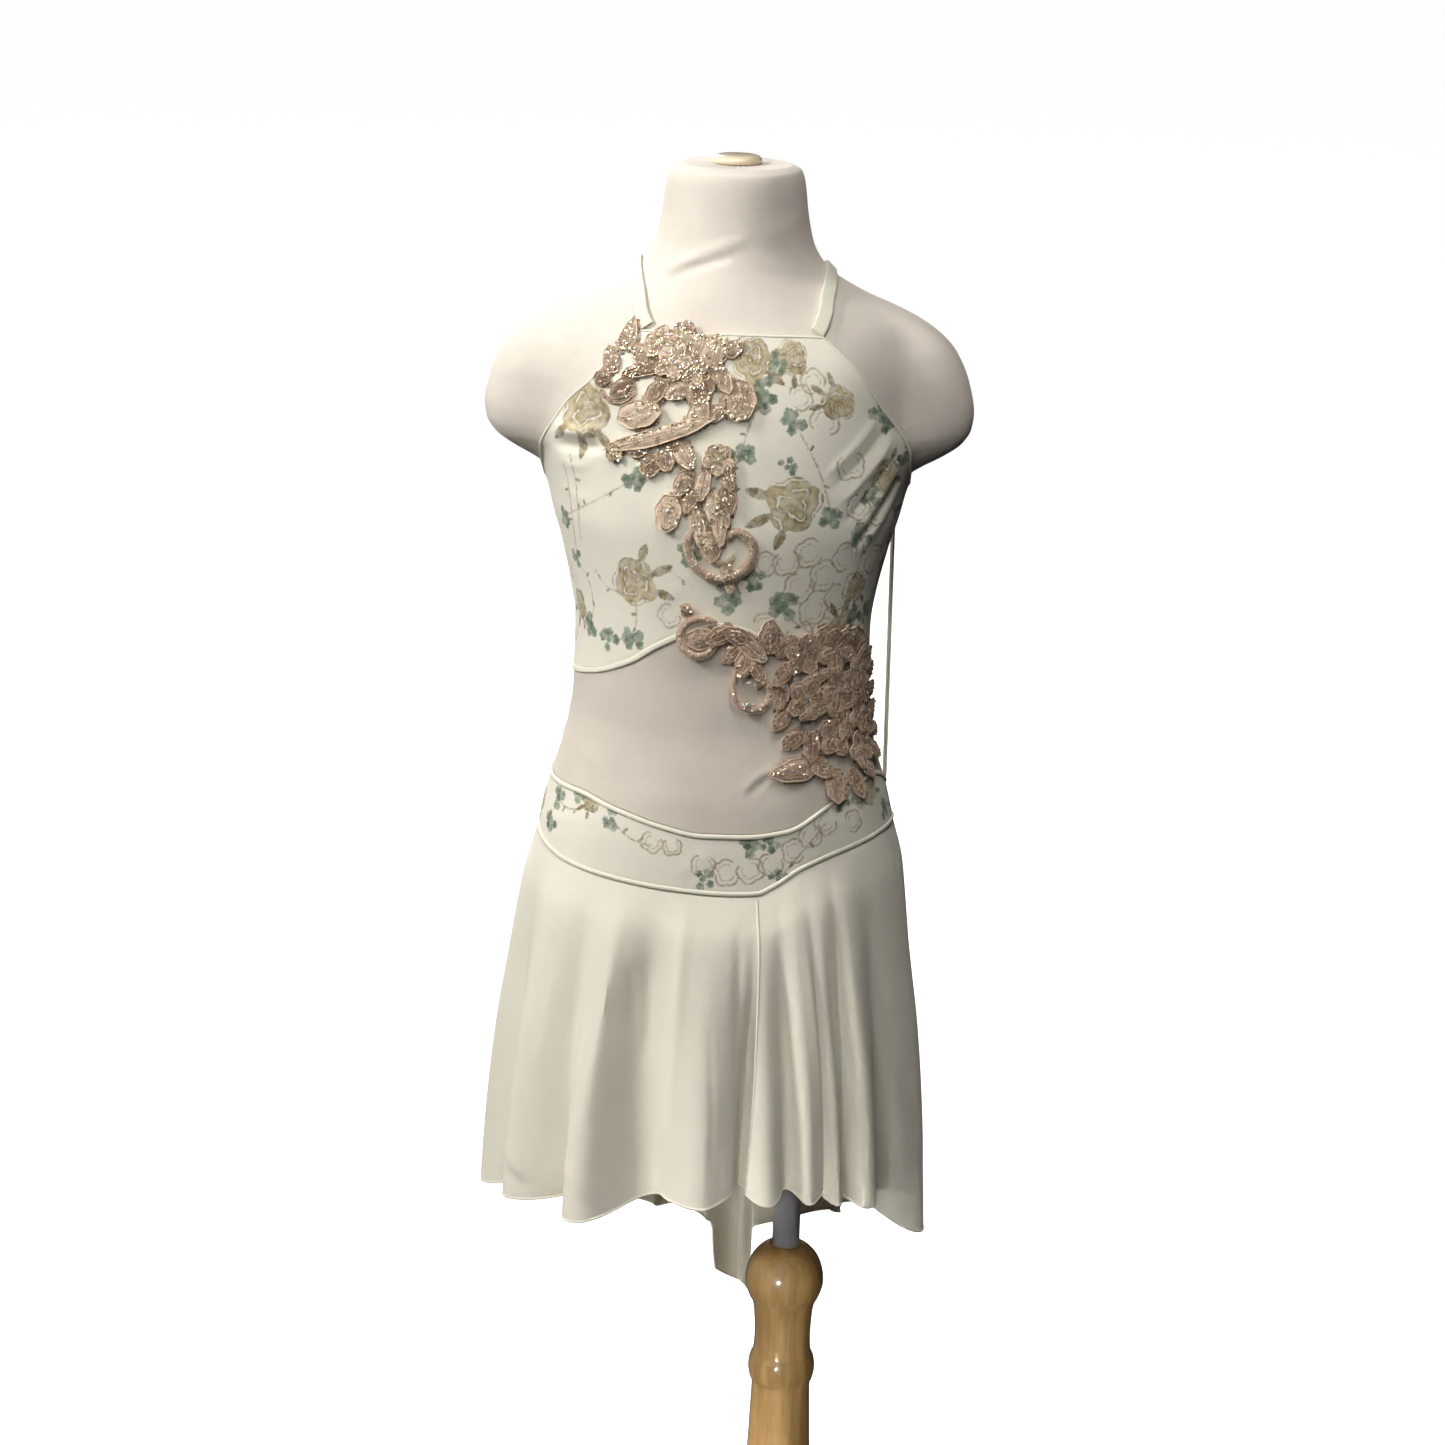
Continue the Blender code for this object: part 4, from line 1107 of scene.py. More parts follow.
@dataclass
class FlowerPrint:
    """A flower print on cloth: at each place, how far it is from each ink's nearest edge.

    A distance is negative inside a motif. Tones run from 0, dark, to 1, light.
    """

    way: Array
    level: Array
    seed: int = 7

    def __post_init__(self) -> None:
        """Start with no ink anywhere."""
        shape = self.way.shape
        self.edges = {name: np.full(shape, 6.0) for name in ("leaf", "gold", "stem")}
        self.tones = {name: np.full(shape, 0.5) for name in ("leaf", "gold")}
        self.chance = np.random.default_rng(self.seed)

    def window(self, place: Place, reach: float, turn: float) -> tuple[Array, Array, Array]:
        """The cloth's points near a motif: their numbers, and two axes turned with it."""
        near = np.nonzero((np.abs(self.way - place[0]) < reach)
                          & (np.abs(self.level - place[1]) < reach))
        across, up = self.way[near] - place[0], self.level[near] - place[1]
        cosine, sine = math.cos(turn), math.sin(turn)
        return near, across * cosine + up * sine, up * cosine - across * sine

    def round_window(self, place: Place, reach: float, turn: float) -> tuple[Array, Array, Array]:
        """The same, with the distance from the motif's middle and the bearing from it."""
        near, p, q = self.window(place, reach, turn)
        return near, np.hypot(p, q), np.arctan2(q, p)

    def lay(self, ink: str, near: Array, distance: Array, tone: Array | None = None) -> None:
        """Add a shape to an ink: the nearer edge wins, and its tone with it."""
        nearer = distance < self.edges[ink][near]
        if tone is not None:
            self.tones[ink][near] = np.where(nearer & (distance < 0.8), np.clip(tone, 0, 1),
                                             self.tones[ink][near])
        self.edges[ink][near] = np.where(nearer, distance, self.edges[ink][near])

    def leaf(self, start: Place, reach: float, turn: float, size: Place, tone: float) -> None:
        """A pointed gold leaf between two arcs, with small teeth and a dark midrib.

        Args:
            start: Place that it grows from.
            reach: Distance from there to its middle.
            turn: The way it points, in radians.
            size: Its length and width.
            tone: Its tone.
        """
        place = (start[0] + reach * math.cos(turn), start[1] + reach * math.sin(turn))
        near, p, q = self.window(place, size[0] * 0.6 + 2, turn)
        half, thin = size[0] / 2, size[1] / 2
        arc = (half * half + thin * thin) / (2 * thin)
        distance = np.hypot(p, np.abs(q) + arc - thin) - arc + 0.22 * np.cos(p * 2.1)
        rib = np.exp(-(q / 0.7) ** 2)
        self.lay("gold", near, distance, tone + 0.12 * np.cos(p * 1.5) - 0.35 * rib)

    def green_cluster(self, place: Place, size: float, count: int) -> None:
        """Round lobed leaves in a loose bunch."""
        first = self.chance.uniform(0, math.tau)
        for number in range(count):
            way = first + number * math.tau / count + self.chance.uniform(-0.35, 0.35)
            reach = size * self.chance.uniform(0.75, 1.15) * (0.0 if number == 0 else 1.0)
            middle = (place[0] + reach * math.cos(way), place[1] + reach * math.sin(way))
            radius = size * self.chance.uniform(0.46, 0.66)
            near, r, turn = self.round_window(middle, radius * 1.6 + 1, way)
            outline = radius * (0.82 + 0.2 * np.abs(np.cos(2.5 * turn)))
            vein = np.exp(-(np.sin(2.5 * turn) * r / 0.9) ** 2)
            base = self.chance.uniform(0.2, 0.75)
            self.lay("leaf", near, r - outline, base + 0.3 * r / radius - 0.4 * vein)

    def rose(self, place: Place, radius: float, turn: float) -> None:
        """A full rose: wavy rings of petals parted by bare lines, and three leaves."""
        for side, share in ((2.5, 0.95), (3.25, 1.05), (4.0, 0.8)):
            size = (0.95 * radius * share, 0.34 * radius)
            self.leaf(place, 1.22 * radius, turn + side, size, 0.28)
        near, r, way = self.round_window(place, radius * 1.2, turn)
        outline = radius * (0.80 + 0.15 * np.abs(np.cos(2.5 * way + 0.4)) + 0.05 * np.cos(3 * way))
        ring = np.cos(math.tau * (2.3 * r / radius + 0.3 * np.cos(3 * way + 2.5 * r / radius)
                                  + 0.12 * np.cos(7 * way)))
        bare = (ring - 0.84) * 0.16 * radius
        tone = 0.50 - 0.34 * ring + 0.30 * r * np.sin(way) / radius + 0.12 * np.cos(9 * way)
        self.lay("gold", near, np.maximum(r - outline, bare), tone)

    def cord_shade_scallop(self, place: Place, radius: float, turn: float) -> None:
        """Two wavy outlines, one inside the other, like a shell edge: thin brown lines of painted
        shade along raised cream cords.
        """
        near, r, way = self.round_window(place, radius * 1.2, turn)
        wave = 0.82 + 0.16 * np.abs(np.cos(2.5 * way)) + 0.04 * np.cos(3 * way)
        open_side = np.clip(np.cos(way) - 0.75, 0, None) * 8
        for share, width in ((1.0, 0.7), (0.62, 0.35)):
            self.lay("stem", near, np.abs(r - share * radius * wave) - width + open_side)

    def stem(self, ends: Row, width: float) -> None:
        """A thin stem: a curve pulled towards its middle point, with two small buds on it.

        Args:
            ends: Way round and height of its start, its middle point and its end.
            width: Half its width.
        """
        start, middle, end = np.array(ends).reshape(3, 2)
        part = np.linspace(0, 1, 15)[:, None]
        line = (1 - part) ** 2 * start + 2 * part * (1 - part) * middle + part ** 2 * end
        for first, last in zip(line[:-1], line[1:]):
            reach = float(np.hypot(*(last - first)))
            near, p, q = self.window((first + last) / 2, reach + 2,
                                     math.atan2(last[1] - first[1], last[0] - first[0]))
            self.lay("stem", near, np.hypot(np.maximum(np.abs(p) - reach / 2, 0), q) - width)
        for spot in (line[4], line[9]):
            self.leaf(spot, 2.4, self.chance.uniform(0, math.tau), (5.0, 2.2), 0.3)


@dataclass(frozen=True)
class PrintLayout:
    """Where the motifs of one panel lie: the way round and height, then sizes."""

    roses: tuple[Row, ...]
    clusters: tuple[Row, ...]
    stems: tuple[Row, ...]
    cord_shade_scallops: tuple[Row, ...]
    seed: int

    def paint(self, way: Array, level: Array) -> Values:
        """Lay the whole print on places of the cloth, as the printed finish reads it."""
        inks = FlowerPrint(way, level, self.seed)
        for *ends, width in self.stems:
            inks.stem(ends, width)
        for sew, rows in ((inks.cord_shade_scallop, self.cord_shade_scallops), (inks.rose, self.roses)):
            for x, z, radius, turn in rows:
                sew((x, z), radius, math.radians(turn))
        for x, z, size, count in self.clusters:
            inks.green_cluster((x, z), size, count)
        return ({f"{name}_edge": edge for name, edge in inks.edges.items()}
                | {f"{name}_tone": tone for name, tone in inks.tones.items()})


def through(points: Sequence[Sequence[float]], smooth: int) -> Array:
    """A smooth line through points: the slope at each is half the way between its neighbours.

    Args:
        points: The points, each a row.
        smooth: Steps for each stretch.

    Returns:
        Rows of the line.
    """
    known = np.array(points, dtype=float)
    padded = np.concatenate([2 * known[:1] - known[1:2], known, 2 * known[-1:] - known[-2:-1]])
    t = np.linspace(0, 1, smooth, endpoint=False)[:, None, None]
    a, b, c, d = padded[:-3], padded[1:-2], padded[2:-1], padded[3:]
    line = 0.5 * (2 * b + (c - a) * t + (2 * a - 5 * b + 4 * c - d) * t ** 2
                  + (3 * b - a - 3 * c + d) * t ** 3)
    return np.concatenate([line.transpose(1, 0, 2).reshape(-1, known.shape[1]), known[-1:]])


@dataclass
class FormCover(SubAssembly):
    """The form's jersey cover, drawn over it in one piece, with its few wrinkles."""

    sides: int = 204
    puckers: int = 26
    pucker_height: float = 0.35
    top_dip: float = 0.3
    foot_rings: Row = (0.2, 0.5, 0.8, 0.93)
    top_rings: Row = (0.93, 0.8, 0.62, 0.4, 0.15)
    wrinkles: tuple[Crease, ...] = creases(
        (-100, 1128, 26, 1157, 3.2, 1.9, 2.0), (-92, 1121, 12, 1147, 3.2, -1.4, 2.0),
        (20, 1158, 150, 1176, 5.0, 0.5, -3.0), (-20, 1140, 120, 1122, 6.0, -0.4),
        (215, 1128, 330, 1150, 5.0, 0.8, 3.0), (-330, 1124, -235, 1142, 5.0, 0.7, -3.0))

    def closing(self, edge: Array, shares: Row) -> Array:
        """Rings inside an end's edge, each a share of its size."""
        middle = np.array([FORM_X, 0.0, edge[0, 2]])
        return middle + np.array(shares)[:, None, None] * (edge - middle)

    def build(self) -> None:
        """Make the cover: level rings up the form, closed at both ends.

        Over the neck's flat top the rings close in, and small radial puckers gather there.
        """
        heights = np.concatenate([np.linspace(*run) for run in (
            (612, 640, 16), (644, 940, 56), (942, 1142, 104), (1146, 1186, 12),
            (1188, 1200, 15))])[:, None]
        angles = np.linspace(-math.pi, math.pi, self.sides, endpoint=False)[None]
        lift = total_lift(self.wrinkles, SHAPE.way_round(angles), heights)
        body = lifted(SHAPE.plan, angles, heights, lift)
        foot, top = self.closing(body[0], self.foot_rings), self.closing(body[-1], self.top_rings)
        pucker = self.pucker_height * np.sin(self.puckers * angles) * np.sin(
            math.pi * np.array(self.top_rings)[:, None])
        top[..., 2] += pucker - self.top_dip
        points = np.concatenate([foot, body, top])
        way = np.linspace(-CHEST_GIRTH / 2, CHEST_GIRTH / 2, self.sides + 1)
        parts = MeshParts()
        parts.add_rings(points, np.stack(np.broadcast_arrays(way, points[:, :1, 2]), axis=-1))
        self.keep(parts.build("form_cover", sharp=ROUND_EDGE), FORM_FINISH, Slot.FORM, "form_torso")


@dataclass
class Stand(SubAssembly):
    """Chrome pole in a turned wooden column on a round base, and the cap on the neck."""

    sides: int = 96
    column_top: float = 415.0
    socket_depth: float = 30.0
    column: tuple[Place, ...] = (
        (385, 10.3), (412, 10.3), (414.6, 11.4), (415, 13), (411, 19), (404, 24.5), (395, 27.7),
        (385, 28.5), (376, 26), (368, 22.4), (356, 21), (342, 20.5), (331, 21.3), (326, 23.4),
        (318, 24.5), (310, 23.2), (305, 21.5), (285, 22), (253, 23.2), (205, 25.5), (150, 28.5),
        (105, 30), (80, 28), (70, 25.5), (64, 29), (55, 33), (46, 33.5), (38, 30), (32, 31),
        (26, 33.5), (22.3, 36))
    base: tuple[Place, ...] = (
        (22, 40), (22, 60), (21.4, 90), (20.5, 110), (17, 136), (12, 147), (7, 150), (2, 148.5),
        (0, 146))
    cap: tuple[Place, ...] = (
        (1206.2, 4), (1206.0, 9), (1205.4, 14), (1203.6, 16.6), (1201.6, 17), (1200.3, 16.2))

    def turned(self, name: str, profile: Sequence[Place], finish: Finish, slot: Slot,
               node: str, centre: float = 0.0, smooth: int = 6) -> None:
        """A turned piece: a smooth line through the profile's points, turned round an axis.

        Args:
            name: The piece's name.
            profile: Height and radius of each point, from the top down.
            finish: Its finish.
            slot: Its material slot.
            node: The solid that it stands for.
            centre: How far along X its axis stands.
            smooth: Points for each stretch of the profile.
        """
        line = through(profile, smooth)
        turn = np.linspace(0, math.tau, self.sides, endpoint=False)
        points = np.stack([centre + line[:, 1:] * np.sin(turn), -line[:, 1:] * np.cos(turn),
                           line[:, :1] + 0 * turn], axis=-1)
        parts = MeshParts()
        parts.add_rings(points)
        self.keep(parts.build(name), finish, slot, node)

    def build(self) -> None:
        """Make the base, the column, the pole and the cap."""
        self.turned("stand_base", self.base, BASE_FINISH, Slot.WOOD, "base_disc")
        self.turned("stand_turning", self.column, WOOD_FINISH, Slot.WOOD, "stand_column")
        self.turned("neck_cap_turned", self.cap, CAP_FINISH, Slot.WOOD, "neck_cap", FORM_X)
        foot = self.column_top - self.socket_depth + GAP
        head = TRUNK.rows[0][0] - GAP
        tube = ((head, 9.2), (head - 0.8, 9.9), (head - 2, 10), (foot + 2, 10), (foot + 0.8, 9.9),
                (foot, 9.2))
        self.turned("chrome_pole", tube, CHROME_FINISH, Slot.CHROME, "pole", smooth=2)


BODICE_LAYOUT = PrintLayout(
    roses=((45, 985, 21, 20), (-64, 926, 19, 200), (-100, 1040, 20, 80), (16, 1080, 17, 140),
           (95, 893, 15, 300), (-190, 930, 19, 40), (-215, 880, 15, 190), (150, 930, 19, 250),
           (188, 900, 16, 100), (176, 962, 14, 10), (-128, 900, 12, 60), (47, 1082, 13, 40),
           (76, 1052, 13, 320), (112, 1000, 13, 200), (104, 922, 12, 90)),
    clusters=((25, 1058, 8.0, 7), (44, 1040, 6.4, 6), (9, 1017, 6.4, 6), (-63, 998, 6.4, 6),
              (71, 974, 6.2, 6), (97, 960, 7.0, 6), (102, 986, 5.6, 5), (108, 1040, 7.4, 6),
              (129, 1013, 6.2, 6), (-25, 949, 6.4, 6), (2, 920, 7.6, 7), (20, 932, 6.2, 6),
              (42, 914, 7.6, 7), (-112, 889, 6.4, 6), (-68, 886, 6.6, 6), (-126, 962, 5.4, 6),
              (-120, 934, 5.0, 5), (109, 899, 7.0, 6), (-90, 882, 6.2, 6), (34, 1078, 5.6, 5),
              (40, 1010, 4.8, 5), (-160, 955, 6.4, 6), (-170, 900, 6.6, 6), (-200, 958, 6.0, 6),
              (-230, 905, 6.4, 6), (126, 900, 6.8, 6), (158, 960, 6.2, 6), (168, 876, 6.2, 6),
              (138, 972, 5.6, 5)),
    stems=((25, 1058, 12, 1038, 9, 1017, 0.5), (9, 1017, -8, 990, -25, 949, 0.4),
           (44, 1040, 66, 1006, 71, 974, 0.5), (104, 1042, 128, 1030, 127, 1013, 0.4),
           (97, 960, 108, 940, 92, 915, 0.5), (42, 914, 50, 900, 70, 892, 0.5),
           (-63, 998, -86, 980, -126, 962, 0.45), (-120, 934, -96, 915, -112, 889, 0.5),
           (-68, 886, -62, 900, -64, 912, 0.5), (2, 920, 14, 940, 20, 932, 0.4),
           (-111, 1008, -104, 980, -108, 950, 0.5), (-118, 1002, -110, 970, -118, 940, 0.5),
           (-98, 930, -90, 916, -76, 918, 0.5), (-44, 940, -32, 934, -20, 926, 0.4),
           (-160, 955, -180, 935, -170, 900, 0.5), (150, 946, 160, 950, 158, 960, 0.4)),
    cord_shade_scallops=((42, 945, 10, 100), (58, 951, 11, 20), (27, 944, 9, 160), (53, 927, 12, 70),
              (71, 934, 12, 10), (86, 946, 11, 330), (66, 910, 12, 90), (85, 917, 11, 40),
              (57, 893, 11, 120), (78, 893, 11, 20), (99, 924, 10, 350), (92, 981, 10, 60),
              (84, 1010, 11, 100), (30, 900, 10, 200), (66, 1040, 11, 250), (60, 1066, 9, 300),
              (50, 1056, 9, 200), (-38, 905, 9, 40), (112, 975, 10, 20), (118, 940, 11, 340),
              (-145, 925, 11, 90), (-150, 880, 10, 60), (132, 878, 11, 50), (200, 930, 11, 120)),
    seed=11)
BASQUE_LAYOUT = PrintLayout(
    roses=((-92, 768, 9, 30), (121, 774, 11, 210), (-160, 752, 10, 60), (165, 752, 11, 330),
           (-245, 742, 11, 15), (235, 744, 11, 170), (310, 740, 11, 80), (-310, 740, 11, 260)),
    clusters=((-127, 762, 5.6, 6), (-130, 745, 5.6, 6), (-104, 771, 4.8, 5), (-74, 758, 5.2, 6),
              (-8, 722, 5.4, 6), (22, 746, 5.8, 6), (38, 748, 5.2, 6), (44, 723, 4.8, 5),
              (93, 774, 5.6, 6), (-190, 742, 5.6, 6), (-270, 738, 5.6, 6), (200, 742, 5.6, 6),
              (272, 738, 5.6, 6), (-338, 736, 5.6, 6), (335, 742, 5.4, 6), (140, 758, 5.4, 6)),
    stems=((-127, 762, -108, 752, -92, 768, 0.5), (-74, 758, -58, 742, -44, 744, 0.5),
           (44, 723, 60, 742, 78, 760, 0.5), (93, 774, 108, 764, 121, 774, 0.5),
           (-190, 742, -215, 752, -245, 742, 0.5), (200, 742, 218, 752, 235, 744, 0.5),
           (272, 738, 290, 750, 310, 740, 0.5), (-338, 736, -324, 748, -310, 740, 0.5)),
    cord_shade_scallops=((-44, 746, 8, 60), (-30, 744, 7, 100), (-8, 732, 9, 80), (8, 727, 10, 20),
              (24, 729, 10, 120), (38, 733, 9, 60), (54, 742, 9, 10), (66, 752, 9, 100),
              (78, 760, 9, 40), (100, 758, 8, 200), (-215, 742, 9, 60), (252, 742, 9, 120)),
    seed=23)
BODICE_CLOTH = BodyCloth(creases=creases(
    (118, 1030, 72, 980, 3.6, 1.5, 3.0), (128, 1012, 80, 952, 3.8, 1.4, 3.0),
    (134, 996, 90, 942, 4.2, 1.1, 3.0), (108, 1046, 62, 1000, 3.4, 1.1, 2.0),
    (123, 1020, 76, 966, 3.0, -1.2, 3.0), (131, 1004, 86, 946, 3.2, -1.0, 3.0),
    (113, 1037, 66, 991, 3.0, -1.0, 3.0), (-128, 1025, -82, 1029, 4.2, 2.6, -2.0),
    (-130, 1015, -80, 1018, 4.0, -2.4, -2.0), (-124, 1004, -92, 1004, 3.4, 0.6, -3.0),
    (-128, 985, -88, 978, 4.5, 0.5, -2.0), (-120, 1022, -96, 1030, 4.0, 0.4),
    (-60, 905, -20, 928, 6.0, 0.4, 2.0), (62, 900, 24, 930, 6.5, 0.4, -2.0),
    (-150, 960, -120, 900, 6.5, 0.6, 4.0), (-180, 950, -150, 890, 7.0, 0.5, 4.0),
    (-205, 955, -185, 890, 6.5, 0.6, 3.0), (150, 965, 132, 900, 6.0, 0.5, -4.0),
    (178, 968, 168, 900, 6.5, 0.6, -3.0), (16, 1092, 20, 1060, 7.0, 0.35),
    (-20, 1090, -28, 1064, 7.0, 0.35)))
MIDRIFF_CLOTH = BodyCloth(thickness=MESH_CLOTH, wall=0.6, creases=creases(
    (45, 802, 16, 782, 3.2, 0.8, -2.0), (45, 796, 18, 776, 3.0, -0.5, -2.0),
    (-120, 820, -70, 800, 5.0, 0.35, 3.0), (-130, 800, -80, 786, 5.0, 0.35, 3.0),
    (120, 808, 80, 792, 5.0, 0.35, -3.0), (-60, 780, 10, 772, 5.5, 0.3, 3.0),
    (-220, 830, -150, 808, 5.0, 0.45, 3.0), (-225, 806, -140, 788, 5.0, 0.45, 3.0),
    (150, 828, 196, 812, 5.0, 0.4, -2.0)))
BASQUE_CLOTH = BodyCloth(creases=creases(
    (-150, 742, -96, 752, 5.0, 0.35, 2.0), (60, 752, 130, 762, 5.0, 0.35, 2.0),
    (-30, 722, 0, 742, 5.0, 0.3), (200, 738, 320, 742, 6.0, 0.5, 3.0),
    (-320, 742, -200, 738, 6.0, 0.5, 3.0)))


def bind_ends(trim: MeshParts, cloth: BodyCloth, angles: Array, low: Array, high: Array,
              above: float, radius: float) -> None:
    """Bind the two upright edges of a panel.

    Args:
        trim: What the bindings are added to.
        cloth: The panel's cloth.
        angles: Angles of its columns.
        low: Height of the low edge at each.
        high: Height of the high edge at each.
        above: How far the binding's middle stands above the face.
        radius: The binding's radius.
    """
    for side in (0, -1):
        up = np.linspace(low[side], high[side], 60)
        trim.add_tube(*cloth.line(np.full(60, angles[side]), up, above), radius, 10)


@dataclass
class Bodice(SubAssembly):
    """The printed bodice front: wraps round from one back edge to the other."""

    columns: int = 401
    rows: int = 201
    binding: float = 0.95
    hem_in: float = 2.6

    def build(self) -> None:
        """Make the bodice, its bound top edge, the band along its foot and the stitches."""
        angles = SHAPE.even_angles(BODICE_START, BODICE_END, self.columns)
        low, high = edge_height(BODICE_LOW, angles), edge_height(BODICE_TOP, angles)
        parts = BODICE_CLOTH.shell(angles, low, high, self.rows, BODICE_LAYOUT.paint)
        piece = self.keep(parts.build("bodice_cloth"), PRINT_FINISH, Slot.PRINT, "bodice_front")
        piece.cut(parts.extent, Held.STRETCHED, "bodice_foot_band", "bodice_edge_binding",
                  "bodice_stitches", *lace_pieces("upper_lace"))
        band, trim, stitches = MeshParts(), MeshParts(), MeshParts()
        middle = low - GAP - BAND_HEIGHT / 2
        band.add_tube(*BODICE_CLOTH.line(angles, middle, -0.4), BAND_HEIGHT / 2, 16, 0.55,
                      square=0.6)
        self.keep(band.build("bodice_foot_band", sharp=ROUND_EDGE), BINDING_FINISH, Slot.BINDING,
                  "bodice_hem_band")
        trim.add_tube(*BODICE_CLOTH.line(angles, high, -self.binding * 0.5), self.binding, 10)
        bind_ends(trim, BODICE_CLOTH, angles, low, high, -0.45, 0.8)
        self.keep(trim.build("bodice_edge_binding", sharp=ROUND_EDGE), BINDING_FINISH, Slot.PRINT)
        for height in (high - self.hem_in, low + self.hem_in):
            stitches.add_stitches(*BODICE_CLOTH.line(angles[4:-4], height[4:-4], 0.05))
        stitches.add_stitches(*BODICE_CLOTH.line(angles[2:-2], middle[2:-2] - 1.0, 0.72))
        self.keep(stitches.build("bodice_stitches"), THREAD_FINISH, Slot.PRINT)


@dataclass
class Midriff(SubAssembly):
    """Nude stretch mesh between the bodice and the basque."""

    columns: int = 301
    rows: int = 61

    def build(self) -> None:
        """Make the mesh, which runs from the basque's piping up to the bodice's band."""
        angles = SHAPE.even_angles(BODICE_START, BODICE_END, self.columns)
        low = edge_height(BASQUE_TOP, angles) + GAP + PIPING_HEIGHT + SEAM_GAP
        high = edge_height(BODICE_LOW, angles) - GAP - BAND_HEIGHT - SEAM_GAP
        parts = MIDRIFF_CLOTH.shell(angles, low, high, self.rows)
        piece = self.keep(parts.build("midriff_net"), NET_FINISH, Slot.MESH, "midriff_mesh")
        piece.cut(parts.extent, Held.STRETCHED, "midriff_edges", *lace_pieces("lower_lace"))
        trim = MeshParts()
        bind_ends(trim, MIDRIFF_CLOTH, angles, low + 0.5, high - 0.5, -0.3, 0.7)
        self.keep(trim.build("midriff_edges", sharp=ROUND_EDGE), NET_FINISH, Slot.MESH)


@dataclass
class Basque(SubAssembly):
    """The shaped basque, front and back, with a piping along each edge."""

    rows: int = 61

    def build(self) -> None:
        """Make the panels, the side seams, and the pipings with their stitches."""
        for name, node, start, end, columns, trims in (
                ("basque_front_cloth", "basque_front", SIDE_STEP - SKIRT_SIDE,
                 SKIRT_SIDE - SIDE_STEP, 361,
                 ("basque_upper_piping", "basque_lower_piping", "basque_stitches")),
                ("basque_back_cloth", "basque_back", SKIRT_SIDE + SIDE_STEP, 270 - SIDE_STEP,
                 281, ())):
            angles = np.radians(np.linspace(start, end, columns))
            low = edge_height(SKIRT_SEAM, angles) + PIPING_HEIGHT + GAP
            parts = BASQUE_CLOTH.shell(angles, low, edge_height(BASQUE_TOP, angles), self.rows,
                                       BASQUE_LAYOUT.paint)
            piece = self.keep(parts.build(name), PRINT_FINISH, Slot.PRINT, node)
            piece.cut(parts.extent, Held.STRETCHED, *trims)
        around = np.radians(np.arange(-180, 180, 0.5))
        stitches = MeshParts()
        for name, node, foot, aside in (
                ("basque_upper_piping", "basque_top_piping", edge_height(BASQUE_TOP, around) + GAP,
                 -2.0),
                ("basque_lower_piping", "basque_bottom_piping", edge_height(SKIRT_SEAM, around),
                 PIPING_HEIGHT + 2.0)):
            cord = MeshParts()
            cord.add_tube(*BASQUE_CLOTH.line(around, foot + PIPING_HEIGHT / 2, -0.2),
                          PIPING_HEIGHT / 2, 14, 0.743, closed=True, square=0.85)
            self.keep(cord.build(name, sharp=ROUND_EDGE), BINDING_FINISH, Slot.BINDING, node)
            stitches.add_stitches(*BASQUE_CLOTH.line(around, foot + aside, 0.05))
        self.keep(stitches.build("basque_stitches"), THREAD_FINISH, Slot.PRINT)


